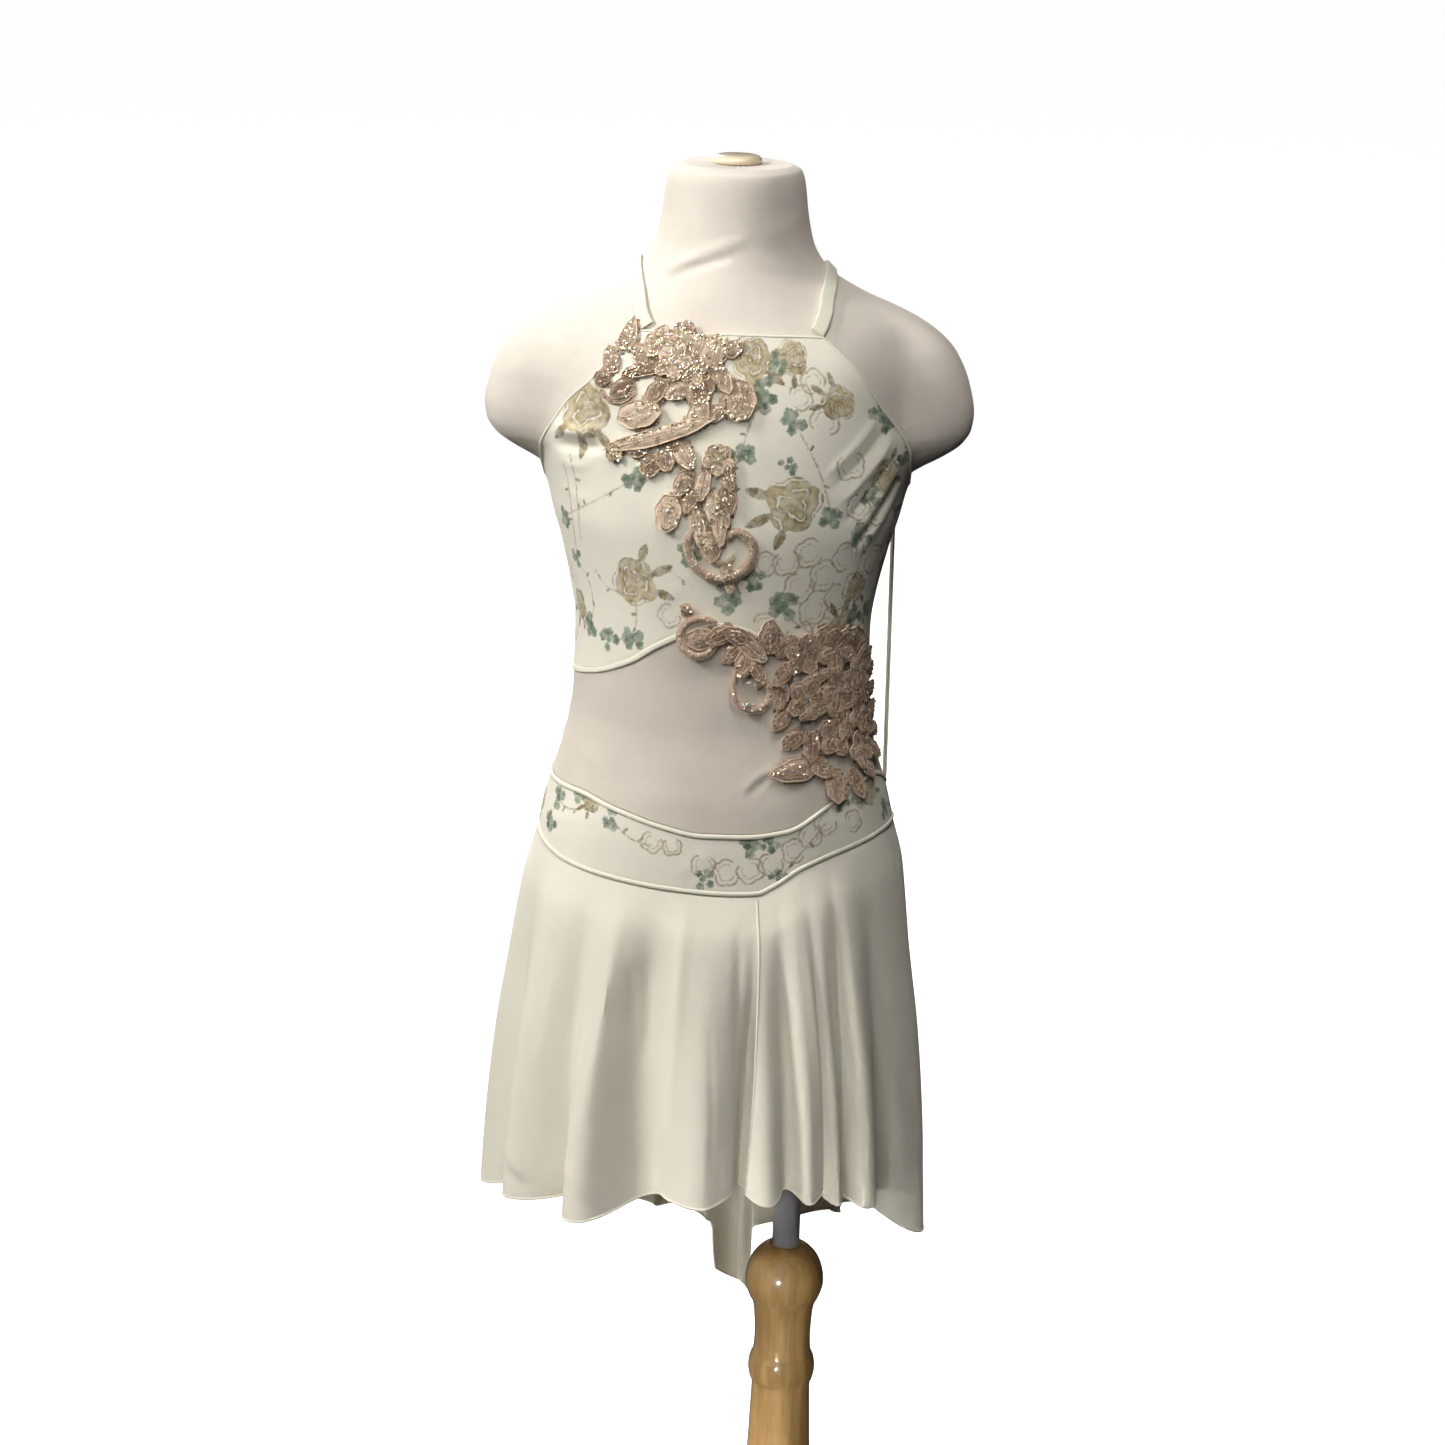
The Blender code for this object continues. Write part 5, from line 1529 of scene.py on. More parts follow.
@dataclass(frozen=True)
class SkirtShape:
    """The skirt's drape: the form at the seam, flared with the drop, less its folds.

    Each fold has a ridge at an angle, a reach in mm, the drop at which it starts and the
    height of the hem at its ridge.
    """

    flare: Table = Table(("drop", "out"), (
        (0, 0), (12, 3.5), (30, 9), (60, 14.5), (95, 20), (140, 27), (185, 32), (230, 35.5),
        (280, 38), (340, 41), (420, 44)))
    folds: Table = Table(("angle", "reach", "start", "hem", "skew"), (
        (-110, 24, 30, 436, 0.8), (-87, 26, 15, 462, 0.9), (-62, 25, 8, 477, 0.9),
        (-39, 29, 12, 478, 0.4), (-1, 25, 28, 499, 0.8), (18, 14, 5, 501, 0.5),
        (30, 12, 5, 499, 0.5), (39, 11, 5, 495, 0.3), (48, 19, 5, 489, -1.0),
        (74, 24, 10, 448, -0.8), (108, 23, 20, 430, 0.0), (124, 21, 25, 412, 0.0),
        (140, 21, 25, 392, 0.0), (155, 19, 30, 374, 0.0), (170, 18, 30, 366, 0.0),
        (189, 20, 30, 382, 0.0), (209, 22, 30, 394, 0.5), (230, 24, 30, 406, 0.8)))
    extra_front: float = 0.45
    extra_back: float = 0.3
    growth: float = 1.1
    full_drop: float = 230.0
    valley_rise: float = 7.0
    tail_angle: float = 170.5
    tail_half: float = 4.6
    tail_drop: float = 46.0
    tail_slant: float = 1.5
    slit_angle: float = 18.0
    slit_swing: float = 5.0
    slit_depth: float = 210.0
    underlap: tuple[float, float, float] = (8.0, 32.0, 178.0)
    tuck: tuple[float, float, float] = (14.0, 120.0, 5.0)
    edge_reach: float = 9.0

    def ridges(self) -> Array:
        """Angles of the ridges, with the first one again at the end."""
        angles = self.folds.column("angle")
        return np.append(angles, angles[0] + 360)

    def turned(self, angle: Array) -> Array:
        """Degrees within the one turn that starts at the first ridge."""
        first = self.folds.rows[0][0]
        return (np.degrees(angle) - first) % 360 + first

    def wave(self, angle: Array) -> Array:
        """How far the skirt sinks from its ridges: 0 on a ridge, 1 in a valley.

        The phase is 2 pi from ridge to ridge, skewed so that the valley lies nearer to one
        of them: half of 1 - cos(phase - skew sin^2(phase / 2)).
        """
        ridges = self.ridges()
        place = np.interp(self.turned(angle), ridges, np.arange(len(ridges)))
        skew = self.folds.column("skew")[np.minimum(place.astype(int), len(ridges) - 2)]
        return 0.5 - 0.5 * np.cos(math.tau * place - skew * np.sin(math.pi * place) ** 2)

    def value(self, name: str, angle: Array) -> Array:
        """A column of the fold table, blended smoothly from ridge to ridge."""
        ridges, turned, column = self.ridges(), self.turned(angle), self.folds.column(name)
        values = np.append(column, column[0])
        low = np.clip(np.searchsorted(ridges, turned, side="right") - 1, 0, len(column) - 1)
        part = ease((turned - ridges[low]) / (ridges[low + 1] - ridges[low]))
        return values[low] + part * (values[low + 1] - values[low])

    def hem(self, angle: Array) -> Array:
        """Height of the hem, with the pointed tail at the centre back."""
        height = self.value("hem", angle) + self.valley_rise * self.wave(angle)
        away = (np.degrees(angle) % 360 - self.tail_angle) / self.tail_half
        inside = ease((1.35 - np.abs(away)) / 0.35)
        return height - inside * (self.tail_drop - self.tail_slant * self.tail_half * away)

    def plan(self, angle: Array, height: Array) -> tuple[Array, Array]:
        """Level place of the skirt's inner face.

        The flare grows with the drop below the seam, more at front and back. A fold's
        valley sinks in from there by its reach, as the drop past its start to a power.

        Args:
            angle: Angles in radians.
            height: Heights in mm.

        Returns:
            X and y in mm.
        """
        seam = edge_height(SKIRT_SEAM, angle)
        drop = np.clip(seam - height, 0, None)
        facing = np.cos(angle)
        extra = np.where(facing > 0, self.extra_front, self.extra_back) * facing ** 2
        start = self.value("start", angle)
        growth = np.clip((drop - start) / (self.full_drop - start), 0, 1.4) ** self.growth
        depth = self.value("reach", angle) * growth * self.wave(angle)
        radius = SHAPE.radius(angle, seam) + self.flare.read("out", drop) * (1 + extra) - depth
        return from_axis(radius, angle)

    def drop_at_slit(self, height: Array) -> Array:
        """How far below the seam at the slit a height lies."""
        return edge_height(SKIRT_SEAM, np.radians(self.slit_angle)) - height

    def slit(self, height: Array) -> Array:
        """Angle in degrees of the right front's free edge, which stands plumb."""
        return self.slit_angle - self.slit_swing * np.clip(
            self.drop_at_slit(height) / self.slit_depth, 0, 1.1)

    def tucked(self, angle: Array, height: Array) -> tuple[Array, Array]:
        """The inner face where the left front sinks behind the right front's edge."""
        depth, length, turn = self.tuck
        x, y = self.plan(angle, height)
        sink = depth * ease((self.drop_at_slit(height) - 10) / length)
        near = ease((np.degrees(angle) - (self.slit(height) - turn - 1)) / turn)
        return x - sink * near * np.sin(angle), y + sink * near * np.cos(angle)

    def left_edge(self, height: Array) -> Array:
        """Angle in degrees of the left front's edge: it runs on behind the right front."""
        turn, start, length = self.underlap
        lap = turn * ease((self.drop_at_slit(height) - start) / length)
        return self.slit(height) - SLIT_STEP + lap

    def columns(self, start: float, end: float, each: int) -> Array:
        """Angles in degrees from start to end: the same number across every fold."""
        ridges = self.ridges()
        twice = np.concatenate([ridges[:-1], ridges + 360])
        every = np.interp(np.arange(0, len(twice) - 1, 1 / each), np.arange(len(twice)), twice)
        inside = every[(every > start + 0.2) & (every < end - 0.2)]
        return np.concatenate([[start], inside, [end]])


SKIRT = SkirtShape()
LEFT_CREASES = creases(
    (-55, 720, -57, 430, 17.0, -8.0), (-84, 720, -88, 430, 7.0, 2.5),
    (-28, 720, -26, 430, 6.0, 2.0), (23, 700, 27, 440, 5.0, -2.0),
    (-60, 672, -52, 590, 4.0, -1.1, 3.0), (-72, 664, -66, 610, 3.5, -0.8, 2.0),
    (-84, 686, -92, 520, 3.0, 1.0, 2.0), (-2, 640, 2, 506, 2.4, -0.7, 2.0),
    (-18, 560, -14, 500, 3.0, -0.6, 2.0), (-104, 520, -86, 492, 3.2, 0.8, 2.0),
    (-98, 505, -80, 484, 3.0, -0.7, 2.0), (-112, 500, -100, 482, 3.0, 0.6),
    (-160, 520, -138, 490, 3.6, 0.8, 3.0), (-150, 500, -134, 484, 3.0, -0.6),
    (-176, 640, -168, 540, 4.5, -0.7, 3.0), (-134, 660, -140, 560, 4.0, 0.6, 3.0),
    (10, 540, 14, 504, 2.6, 0.6))
RIGHT_CREASES = creases(
    (60, 700, 64, 430, 8.0, -4.5), (80, 700, 83, 430, 4.5, 3.2), (97, 700, 99, 430, 5.0, -3.5),
    (114, 700, 119, 430, 5.0, 2.0), (58, 640, 60, 520, 2.6, -0.5, 2.0),
    (104, 640, 112, 500, 3.0, -0.6, 2.0), (150, 600, 160, 480, 4.5, 0.9, 3.0),
    (168, 560, 176, 470, 4.0, -0.7, 3.0), (140, 500, 164, 462, 3.6, 0.7, 2.0),
    (190, 640, 196, 520, 4.5, -0.6, 3.0))


@dataclass(frozen=True)
class SkirtCloth:
    """One panel of the skirt: its reach in degrees, its drape, its free edges and creases.

    Places on its creases are 2.4 mm for each degree, and the height.
    """

    start: float
    end: float
    plan: Plan
    edge_low: Edge | None = None
    edge_high: Edge | None = None
    creases: tuple[Crease, ...] = ()
    each: int = 30
    rows: int = 97
    wall: float = 0.9

    def grid(self) -> tuple[Array, Array]:
        """Angles and heights of the panel's grid, from the seam down to the hem.

        Columns near a free edge lean with it, and three rounds settle the levels, because
        the hem follows the leaning columns.
        """
        columns = SKIRT.columns(self.start, self.end, self.each)
        spare = (len(columns) - 1) % 2
        columns = np.insert(columns, 1, [(columns[0] + columns[1]) / 2] * spare)
        part = np.linspace(0, 1, self.rows)[:, None]
        angle = np.broadcast_to(np.radians(columns), (self.rows, len(columns)))
        for _ in range(3):
            top = edge_height(SKIRT_SEAM, angle[0]) - SEAM_GAP
            level = top + part * (SKIRT.hem(angle) - top)
            for edge, end in ((self.edge_low, 0), (self.edge_high, -1)):
                if edge is not None:
                    near = ease(1 - np.abs(columns - columns[end]) / SKIRT.edge_reach)
                    angle = np.radians(columns + near * (edge(level) - columns[end]))
        return angle, level

    def at(self, angle: Array, level: Array, above: float = 0.0) -> Array:
        """Points of the outer face, or so far above it."""
        crease = total_lift(self.creases, np.degrees(angle) * SKIRT_WAY, level)
        return lifted(self.plan, angle, level, CLOTH_LIFT + CLOTH + crease + above)


@dataclass
class Skirt(SubAssembly):
    """The high-low circle skirt: left front, right front that laps over it, and back."""

    stride: int = 2
    roll: float = 0.95
    roll_in: float = 0.45
    stitch_row: int = -3

    def panels(self) -> tuple[tuple[str, str, SkirtCloth, tuple[str, ...]], ...]:
        """The three panels with the names of their pieces, their solids and their trims."""
        side, slit = SKIRT_SIDE, SKIRT.slit_angle
        left = SkirtCloth(-side + SIDE_STEP, slit - SLIT_STEP, SKIRT.tucked,
                          edge_high=SKIRT.left_edge, creases=LEFT_CREASES)
        right = SkirtCloth(slit, side - SIDE_STEP, SKIRT.plan, edge_low=SKIRT.slit,
                           creases=RIGHT_CREASES)
        back = SkirtCloth(side + SIDE_STEP, 360 - side - SIDE_STEP, SKIRT.plan)
        return (("skirt_left_front", "skirt_front_left", left,
                 ("skirt_rolled_hem", "skirt_hem_stitches")),
                ("skirt_right_front", "skirt_front_right", right, ()),
                ("skirt_back_panel", "skirt_back", back, ()))

    def build(self) -> None:
        """Make the panels, then the rolled hems and slit edge with their stitches."""
        rolls, stitches = MeshParts(), MeshParts()
        for name, node, cloth, trims in self.panels():
            angle, level = cloth.grid()
            outer = cloth.at(angle, level)
            inner = cloth.at(angle[::self.stride, ::self.stride],
                             level[::self.stride, ::self.stride], -cloth.wall)
            uv = np.stack([way_along(outer, 1), -way_along(outer, 0)], axis=-1)
            parts = MeshParts()
            parts.add_shell(outer[::-1], inner[::-1], uv[::-1], self.stride)
            piece = self.keep(parts.build(name), JERSEY_FINISH, Slot.JERSEY, node)
            piece.cut(parts.extent, Held.HUNG, *trims)
            outward = unit(np.cross(np.gradient(outer, axis=1), -np.gradient(outer, axis=0)))
            sunk = outer - self.roll_in * outward
            rolls.add_tube(sunk[-1], outward[-1], self.roll, 10)
            row = self.stitch_row
            stitches.add_stitches(outer[row] + 0.05 * outward[row], outward[row], 3.0, 2.0)
            if cloth.edge_low is not None:
                rolls.add_tube(sunk[1:, 0], outward[1:, 0], self.roll, 10)
        self.keep(rolls.build("skirt_rolled_hem", sharp=ROUND_EDGE), JERSEY_FINISH, Slot.JERSEY)
        self.keep(stitches.build("skirt_hem_stitches"), THREAD_FINISH, Slot.JERSEY)


@dataclass
class Straps(SubAssembly):
    """Two shoulder straps that cross on the open back, and a side strap at each flank."""

    width: float = 10.0
    stitch_in: float = 1.6
    lift: float = 1.3
    over: float = 2.4
    crossing: float = 34.0
    crossing_level: float = 1046.0
    side_top: float = 967.0
    side_foot: float = 760.0
    right_route: tuple[Place, ...] = (
        (41.6, 1096.2), (58, 1119), (90, 1131), (122, 1121), (142, 1097), (165, 1062),
        (190, 1034), (218, 1002), (239.6, 978))
    left_route: tuple[Place, ...] = (
        (-41.6, 1097.2), (-58, 1119), (-90, 1131), (-122, 1121), (-142, 1097), (-165, 1062),
        (-190, 1034), (-222, 1002), (-259.2, 977))

    def strap(self, name: str, node: str, centre: Array, outward: Array) -> None:
        """One flat strap on its middle line, with a row of stitches along each edge.

        Args:
            name: The piece's name.
            node: The solid that it stands for.
            centre: Points of the middle line, on its underside.
            outward: The outward direction at each.
        """
        along = unit(np.gradient(centre, axis=0))
        side = unit(np.cross(along, outward))
        face = np.cross(side, along)
        parts, stitches = MeshParts(), MeshParts()
        parts.add_tube(centre + CLOTH / 2 * face, outward, self.width / 2, 20,
                       CLOTH / self.width, square=0.45)
        piece = self.keep(parts.build(name, sharp=ROUND_EDGE), BINDING_FINISH, Slot.BINDING, node)
        piece.cut((self.width * MM, float(way_along(centre)[-1]) * MM), Held.STRETCHED,
                  name + "_stitches")
        for edge in (-1, 1):
            row = centre + (CLOTH + 0.02) * face + edge * (self.width / 2 - self.stitch_in) * side
            stitches.add_stitches(row[2:-2], face[2:-2], 2.4, 1.7, 0.2)
        self.keep(stitches.build(name + "_stitches"), THREAD_FINISH, Slot.BINDING)

    def build(self) -> None:
        """Make the shoulder straps on their routes, then the side straps, drawn taut."""
        for name, node, route, over in (
                ("strap_right", "shoulder_strap_right", self.right_route, 0.0),
                ("strap_left", "shoulder_strap_left", self.left_route, self.over)):
            known, at = np.arange(len(route), dtype=float), np.linspace(0, len(route) - 1, 221)
            turn, height = (smooth_curve(known, column, at) for column in np.array(route).T)
            angle = np.radians(turn)
            outward, surface = SHAPE.normal(angle, height), SHAPE.point(angle, height)
            back = SHAPE.plan(np.array(np.pi), np.array(route[5][1]))[1]
            cross = np.array([FORM_X, back, self.crossing_level])
            near = np.linalg.norm(surface - cross, axis=1) / self.crossing
            lift = self.lift + over * ease(2.0 - near)
            self.strap(name, node, surface + lift[:, None] * outward, outward)
        for name, node, top, foot, lift in (
                ("flank_strap_right", "side_strap_right", 101.4, 97.4, 2.6),
                ("flank_strap_left", "side_strap_left", -121.2, -121.2, 1.0)):
            high, low = math.radians(top), math.radians(foot)
            reach = self.width / 2 / SHAPE.radius(np.array(low), np.array(self.side_foot))
            edges = edge_height(BASQUE_TOP, low + np.array([-1, 0, 1]) * reach)
            level = float(np.max(edges)) + GAP + PIPING_HEIGHT + SEAM_GAP
            ends = [lifted(SHAPE.plan, np.array([a]), np.array([z]), out)[0]
                    for a, z, out in ((high, self.side_top, CLOTH_LIFT), (low, level, lift))]
            centre = ends[0] + np.linspace(0, 1, 121)[:, None] * (ends[1] - ends[0])
            middle = (high + low) / 2
            outward = np.array([[math.sin(middle), -math.cos(middle), 0.0]]) + 0 * centre
            self.strap(name, node, centre, outward)


@dataclass(frozen=True)
class Petal:
    """A petal of corded lace: its middle on the cloth, its size and where its tip points.

    It rises from `low` above its bed at the root to `high` at the tip. `point` sharpens it.
    """

    way: float
    level: float
    long: float
    wide: float
    turn: float
    low: float
    high: float
    point: float
    tint_and_shade: float = 0.5


@dataclass(frozen=True)
class Scroll:
    """A curled band of corded lace through places on the cloth, thickest at its middle."""

    places: tuple[Place, ...]
    width: float
    above: float
    tint_and_shade: float


@dataclass(frozen=True)
class LaceLayout:
    """All that one applique is sewn from, and how far its bed stands off the form."""

    lift: float
    petals: tuple[Row, ...]
    flowers: tuple[Row, ...]
    scrolls: tuple[Scroll, ...]
    stones: tuple[Place, ...]
    seed: int
    sparkle: float = 1.0

    def all_petals(self) -> list[Petal]:
        """The petals, with five more round the middle of every flower."""
        every = [Petal(*row) for row in self.petals]
        for way, level, radius, phase, low, tint_and_shade in self.flowers:
            for number in range(5):
                turn, reach = phase + 72 * number, 0.58 * radius
                every.append(Petal(way + reach * math.cos(math.radians(turn)),
                                   level + reach * math.sin(math.radians(turn)), 0.98 * radius,
                                   0.82 * radius, turn, low, low + 1.1 + 0.25 * (number % 2), 0.0,
                                   tint_and_shade + 0.12 * (number % 3 - 1)))
        return every

    def at(self, angle: Array, level: Array, above: Numbers) -> Array:
        """Points so far above the applique's bed."""
        return lifted(SHAPE.plan, angle, level, self.lift + bodice_ease(angle, level) + above)

    def spread(self, place: Place, across: Array, up: Array, above: Numbers) -> Line:
        """Lay a flat pattern on the cloth about a place, in true millimetres.

        Args:
            place: Way round and height of the pattern's middle.
            across: Pattern places to the viewer's right.
            up: Pattern places upwards.
            above: Height over the bed.

        Returns:
            Points, and the outward direction at each.
        """
        angle = SHAPE.angle_at(np.array(place[0]))
        ends = SHAPE.point(angle + np.array([-TURN_STEP, TURN_STEP]), np.full(2, place[1]))
        rate = float(np.linalg.norm(ends[1] - ends[0])) / (2 * TURN_STEP)
        turned, level = angle + across / rate, place[1] + up
        return self.at(turned, level, above), SHAPE.normal(turned, level)


@dataclass
class Sparkles:
    """Middles, outward ways and sizes of small sewn things, which end up as copies."""

    chance: np.random.Generator
    middles: list[Array] = field(default_factory=list)
    faces: list[Array] = field(default_factory=list)
    sizes: list[Array] = field(default_factory=list)

    def add(self, middle: Array, face: Array, size: float, jitter: float = 0.0) -> None:
        """Take in a row of them at one size, each moved a little."""
        self.middles.append(middle + self.chance.normal(0, jitter, middle.shape))
        self.faces.append(face)
        self.sizes.append(np.full(len(middle), size) * self.chance.uniform(0.8, 1.15, len(middle)))

    def build(self, name: str, shape: tuple[Array, Corners], tilt: float, stretch: float = 1.0
              ) -> bpy.types.Object:
        """Make them all: tilted and tinted by chance, and stretched up and down the cloth.

        Args:
            name: The piece's name.
            shape: Points and faces of one of them.
            tilt: How much they tilt.
            stretch: How much longer they are up and down.

        Returns:
            The object.
        """
        middle, face = np.concatenate(self.middles), np.concatenate(self.faces)
        size = np.concatenate(self.sizes)[:, None]
        out = unit(face + tilt * self.chance.normal(0, 1, face.shape))
        side = unit(np.cross(out, [0, 0, 1] + 0.25 * self.chance.normal(0, 1, face.shape)))
        axes = np.stack([side * size, np.cross(out, side) * size * stretch, out * size], axis=1)
        parts = MeshParts()
        parts.add_copies(shape, middle, axes, {"tint_and_shade": self.chance.uniform(0, 1, len(size))})
        return parts.build(name, sharp=25)


def turned_gem(profile: Sequence[Place], sides: int) -> tuple[Array, Corners]:
    """A small turned shape about its third axis, from rows of height and radius."""
    turn = np.arange(sides) * math.tau / sides
    rings = [np.stack([r * np.cos(turn), r * np.sin(turn), 0 * turn + z], axis=-1)
             for z, r in profile[1:-1]]
    points = np.concatenate(rings + [[(0, 0, profile[0][0]), (0, 0, profile[-1][0])]])
    quads = grid_quads(len(rings), sides, wrap=True)
    faces = [end_fans(len(rings), sides), quads[:, [0, 1, 2]], quads[:, [0, 2, 3]]]
    return points, np.concatenate(faces)


SEQUIN = turned_gem(((0.0, 0), (0.24, 1.0), (0.1, 1.0), (-0.1, 0)), 8)
BEAD = turned_gem(((0.8, 0), (0.45, 0.85), (-0.45, 0.85), (-0.8, 0)), 6)
STONE = turned_gem(((0.62, 0), (0.60, 0.5), (0.34, 0.85), (0.0, 1.0), (-0.3, 0.7), (-0.35, 0)), 10)


@dataclass
class Applique(SubAssembly):
    """Corded lace with petals in relief, sequins, beads and stones over a plain net base."""

    name: str
    node: str
    slot: Slot
    layout: LaceLayout
    finishes: tuple[Finish, ...]
    tilt: float = 0.30
    net_step: float = 1.6
    bridge: float = 2.6

    def base(self) -> bpy.types.Object:
        """The net behind the petals, coloured as painted shade: it lies under each ellipse and
        closes narrow gaps.

        A place is kept where (p/a)^2 + (q/b)^2 < 1 for one petal's ellipse drawn in by 12%,
        or for two petals' ellipses let out by the bridge, with p and q along its two halves.
        """
        petals = self.layout.all_petals()
        way, mid, long, wide, turn = (np.array([getattr(petal, name) for petal in petals])
                                      for name in ("way", "level", "long", "wide", "turn"))
        reach = float(long.max()) / 2 + 3
        flat, level = np.meshgrid(*(np.arange(at.min() - reach, at.max() + reach, self.net_step)
                                    for at in (way, mid)))
        middle_way = 0.25 * (flat[:-1, :-1] + flat[1:, 1:] + flat[:-1, 1:] + flat[1:, :-1])
        middle_level = 0.5 * (level[:-1, :-1] + level[1:, 1:])
        sine, cosine = np.sin(np.radians(turn)), np.cos(np.radians(turn))
        across, up = middle_way[..., None] - way, middle_level[..., None] - mid
        along, aside = across * cosine + up * sine, up * cosine - across * sine
        under = (along / (0.44 * long)) ** 2 + (aside / (0.44 * wide)) ** 2 < 1
        near = ((along / (long / 2 + self.bridge)) ** 2
                + (aside / (wide / 2 + self.bridge)) ** 2 < 1)
        kept = under.any(axis=-1) | (near.sum(axis=-1) > 1)
        quads = grid_quads(*flat.shape)[kept.ravel()]
        used, fresh = np.unique(quads, return_inverse=True)
        points = self.layout.at(SHAPE.angle_at(flat), level, 0.3).reshape(-1, 3)[used]
        places = np.stack([flat, level], axis=-1).reshape(-1, 2)
        parts = MeshParts()
        parts.add(points, [fresh.reshape(quads.shape)], [places[quads]])
        net = parts.build(self.name + "_net", closed=False)
        wall = net.modifiers.new("wall", "SOLIDIFY")
        wall.thickness, wall.offset = 0.3 * MM, -1.0
        return net

    def sew_petal(self, petal: Petal, fills: MeshParts, cords: MeshParts, sequins: Sparkles,
                  beads: Sparkles) -> None:
        """One petal: satin fill, a cord round its rim and down its vein, and its sequins."""
        layout, chance, tint_and_shade = self.layout, sequins.chance, {"tint_and_shade": petal.tint_and_shade}
        turn = np.linspace(0, math.tau, 32, endpoint=False)
        bearing = math.radians(petal.turn)

        def lay(reach: Numbers, way: Array, extra: Numbers) -> tuple[Array, Array, Array]:
            """Points at a share of the outline, above the petal's rising face."""
            wave = 1 + 0.045 * np.cos(7 * way + petal.way)
            along = petal.long / 2 * reach * np.cos(way) * wave
            aside = (petal.wide / 2 * reach * np.sin(way) * wave
                     * np.abs(np.sin(way / 2)) ** petal.point)
            rise = petal.low + 1.5 * (petal.high - petal.low) * (along / petal.long + 0.5)
            across = along * math.cos(bearing) - aside * math.sin(bearing)
            up = along * math.sin(bearing) + aside * math.cos(bearing)
            points, face = layout.spread((petal.way, petal.level), across, up, rise + extra)
            return points, face, np.stack([along + 0.7 * np.abs(aside), aside], axis=-1)

        reach = np.array([0.08, 0.3, 0.5, 0.68, 0.84, 0.95, 1.0, 0.95, 0.5])[:, None]
        vein = 0.5 * np.exp(-(np.sin(turn) * reach * petal.wide / 1.6) ** 2)
        dome = 1.2 * (1 - reach ** 2) - vein
        dome[-2:] = -0.45
        points, _, uv = lay(reach, turn[None], dome)
        # Painted shade and highlight: darker at the petal's root, lighter towards its raised tip
        # and its rim.
        shade = (petal.tint_and_shade - 0.34 + 0.42 * (uv[..., 0] / petal.long + 0.5) * reach
                 + 0.30 * reach ** 3)
        fills.add_rings(points, np.concatenate([uv, uv[:, :1]], axis=1), {"tint_and_shade": shade})
        cords.add_tube(*lay(1.0, turn, 0.15)[:2], 0.52, 5, closed=True, values=tint_and_shade)
        if petal.wide > 12:
            cords.add_tube(*lay(0.6, turn, 0.75)[:2], 0.3, 4, closed=True, values=tint_and_shade)
        middle = np.linspace(-0.85, 0.75, 9)
        spine = lay(np.abs(middle), np.where(middle < 0, math.pi, 0.0), 0.8)
        cords.add_tube(*spine[:2], np.linspace(0.42, 0.22, 9), 5, values=tint_and_shade)
        arc = chance.uniform(1.3, 3.2)
        count = max(3, int(layout.sparkle * arc * (petal.long + petal.wide) / 4 / 2.7))
        way = chance.uniform(0, math.tau) + np.linspace(0, arc, count)
        sequins.add(*lay(0.86, way, 0.85)[:2], 0.95, 0.2)
        count = max(1, int(layout.sparkle * petal.long * petal.wide / 90))
        way, share = chance.uniform(0, math.tau, count), np.sqrt(chance.uniform(0.02, 0.5, count))
        sequins.add(*lay(share, way, 1.2)[:2], 0.8, 0.1)
        way = chance.uniform(0, math.tau, count + 2)
        beads.add(*lay(chance.uniform(0.3, 1.02, count + 2), way, 1.0)[:2], 0.5, 0.12)

    def sew_scroll(self, scroll: Scroll, fills: MeshParts, cords: MeshParts, sequins: Sparkles
                   ) -> None:
        """One curled band with a cord along each side and sequins down its middle."""
        line, tint_and_shade = through(scroll.places, 9), {"tint_and_shade": scroll.tint_and_shade}
        angle, level = SHAPE.angle_at(line[:, 0]), line[:, 1]
        path, face = self.layout.at(angle, level, scroll.above), SHAPE.normal(angle, level)
        share = np.linspace(0, 1, len(line))
        half = scroll.width * (0.45 + 0.55 * np.sin(math.pi * share) ** 0.6)
        fills.add_tube(path, face, half, 10, 0.5, values=tint_and_shade)
        side = unit(np.cross(unit(np.gradient(path, axis=0)), face))
        for edge in (-1, 1):
            rail = path + edge * half[:, None] * side + 0.2 * face
            cords.add_tube(rail, face, 0.45, 5, values=tint_and_shade)
        every = np.arange(2, len(line) - 2, 5)
        sequins.add(path[every] + 0.55 * half[every, None] * face[every], face[every], 0.9, 0.15)

    def build(self) -> None:
        """Sew the base, the petals, the scrolls and the stones, each in a ring of beads."""
        lace, cord, sequin, bead, stone, net = self.finishes
        layout, chance = self.layout, np.random.default_rng(self.layout.seed)
        fills, cords = MeshParts(), MeshParts()
        sequins, beads, stones = Sparkles(chance), Sparkles(chance), Sparkles(chance)
        for petal in layout.all_petals():
            self.sew_petal(petal, fills, cords, sequins, beads)
        for scroll in layout.scrolls:
            self.sew_scroll(scroll, fills, cords, sequins)
        spots = [(*place, 3.0, 1.25) for place in layout.stones]
        spots += [(way, level, low + 1.6, 0.04 * radius + 0.7)
                  for way, level, radius, _, low, _ in layout.flowers]
        around = np.arange(7) * math.tau / 7
        for way, level, above, size in spots:
            stones.add(*layout.spread((way, level), np.zeros(1), np.zeros(1), above), size)
            beads.add(*layout.spread((way, level), (size + 0.75) * np.cos(around),
                                     (size + 0.75) * np.sin(around), above - 0.1), 0.62)
        self.keep(self.base(), net, self.slot)
        self.keep(fills.build(self.name + "_petals", sharp=ROUND_EDGE), lace, self.slot, self.node)
        self.keep(cords.build(self.name + "_cords", sharp=ROUND_EDGE), cord, self.slot)
        for kind, group, shape, tilt, stretch, finish in (
                ("_sequins", sequins, SEQUIN, self.tilt, 1.0, sequin),
                ("_beads", beads, BEAD, 0.2, 2.4, bead),
                ("_stones", stones, STONE, 0.12, 1.0, stone)):
            self.keep(group.build(self.name + kind, shape, tilt, stretch), finish, self.slot)


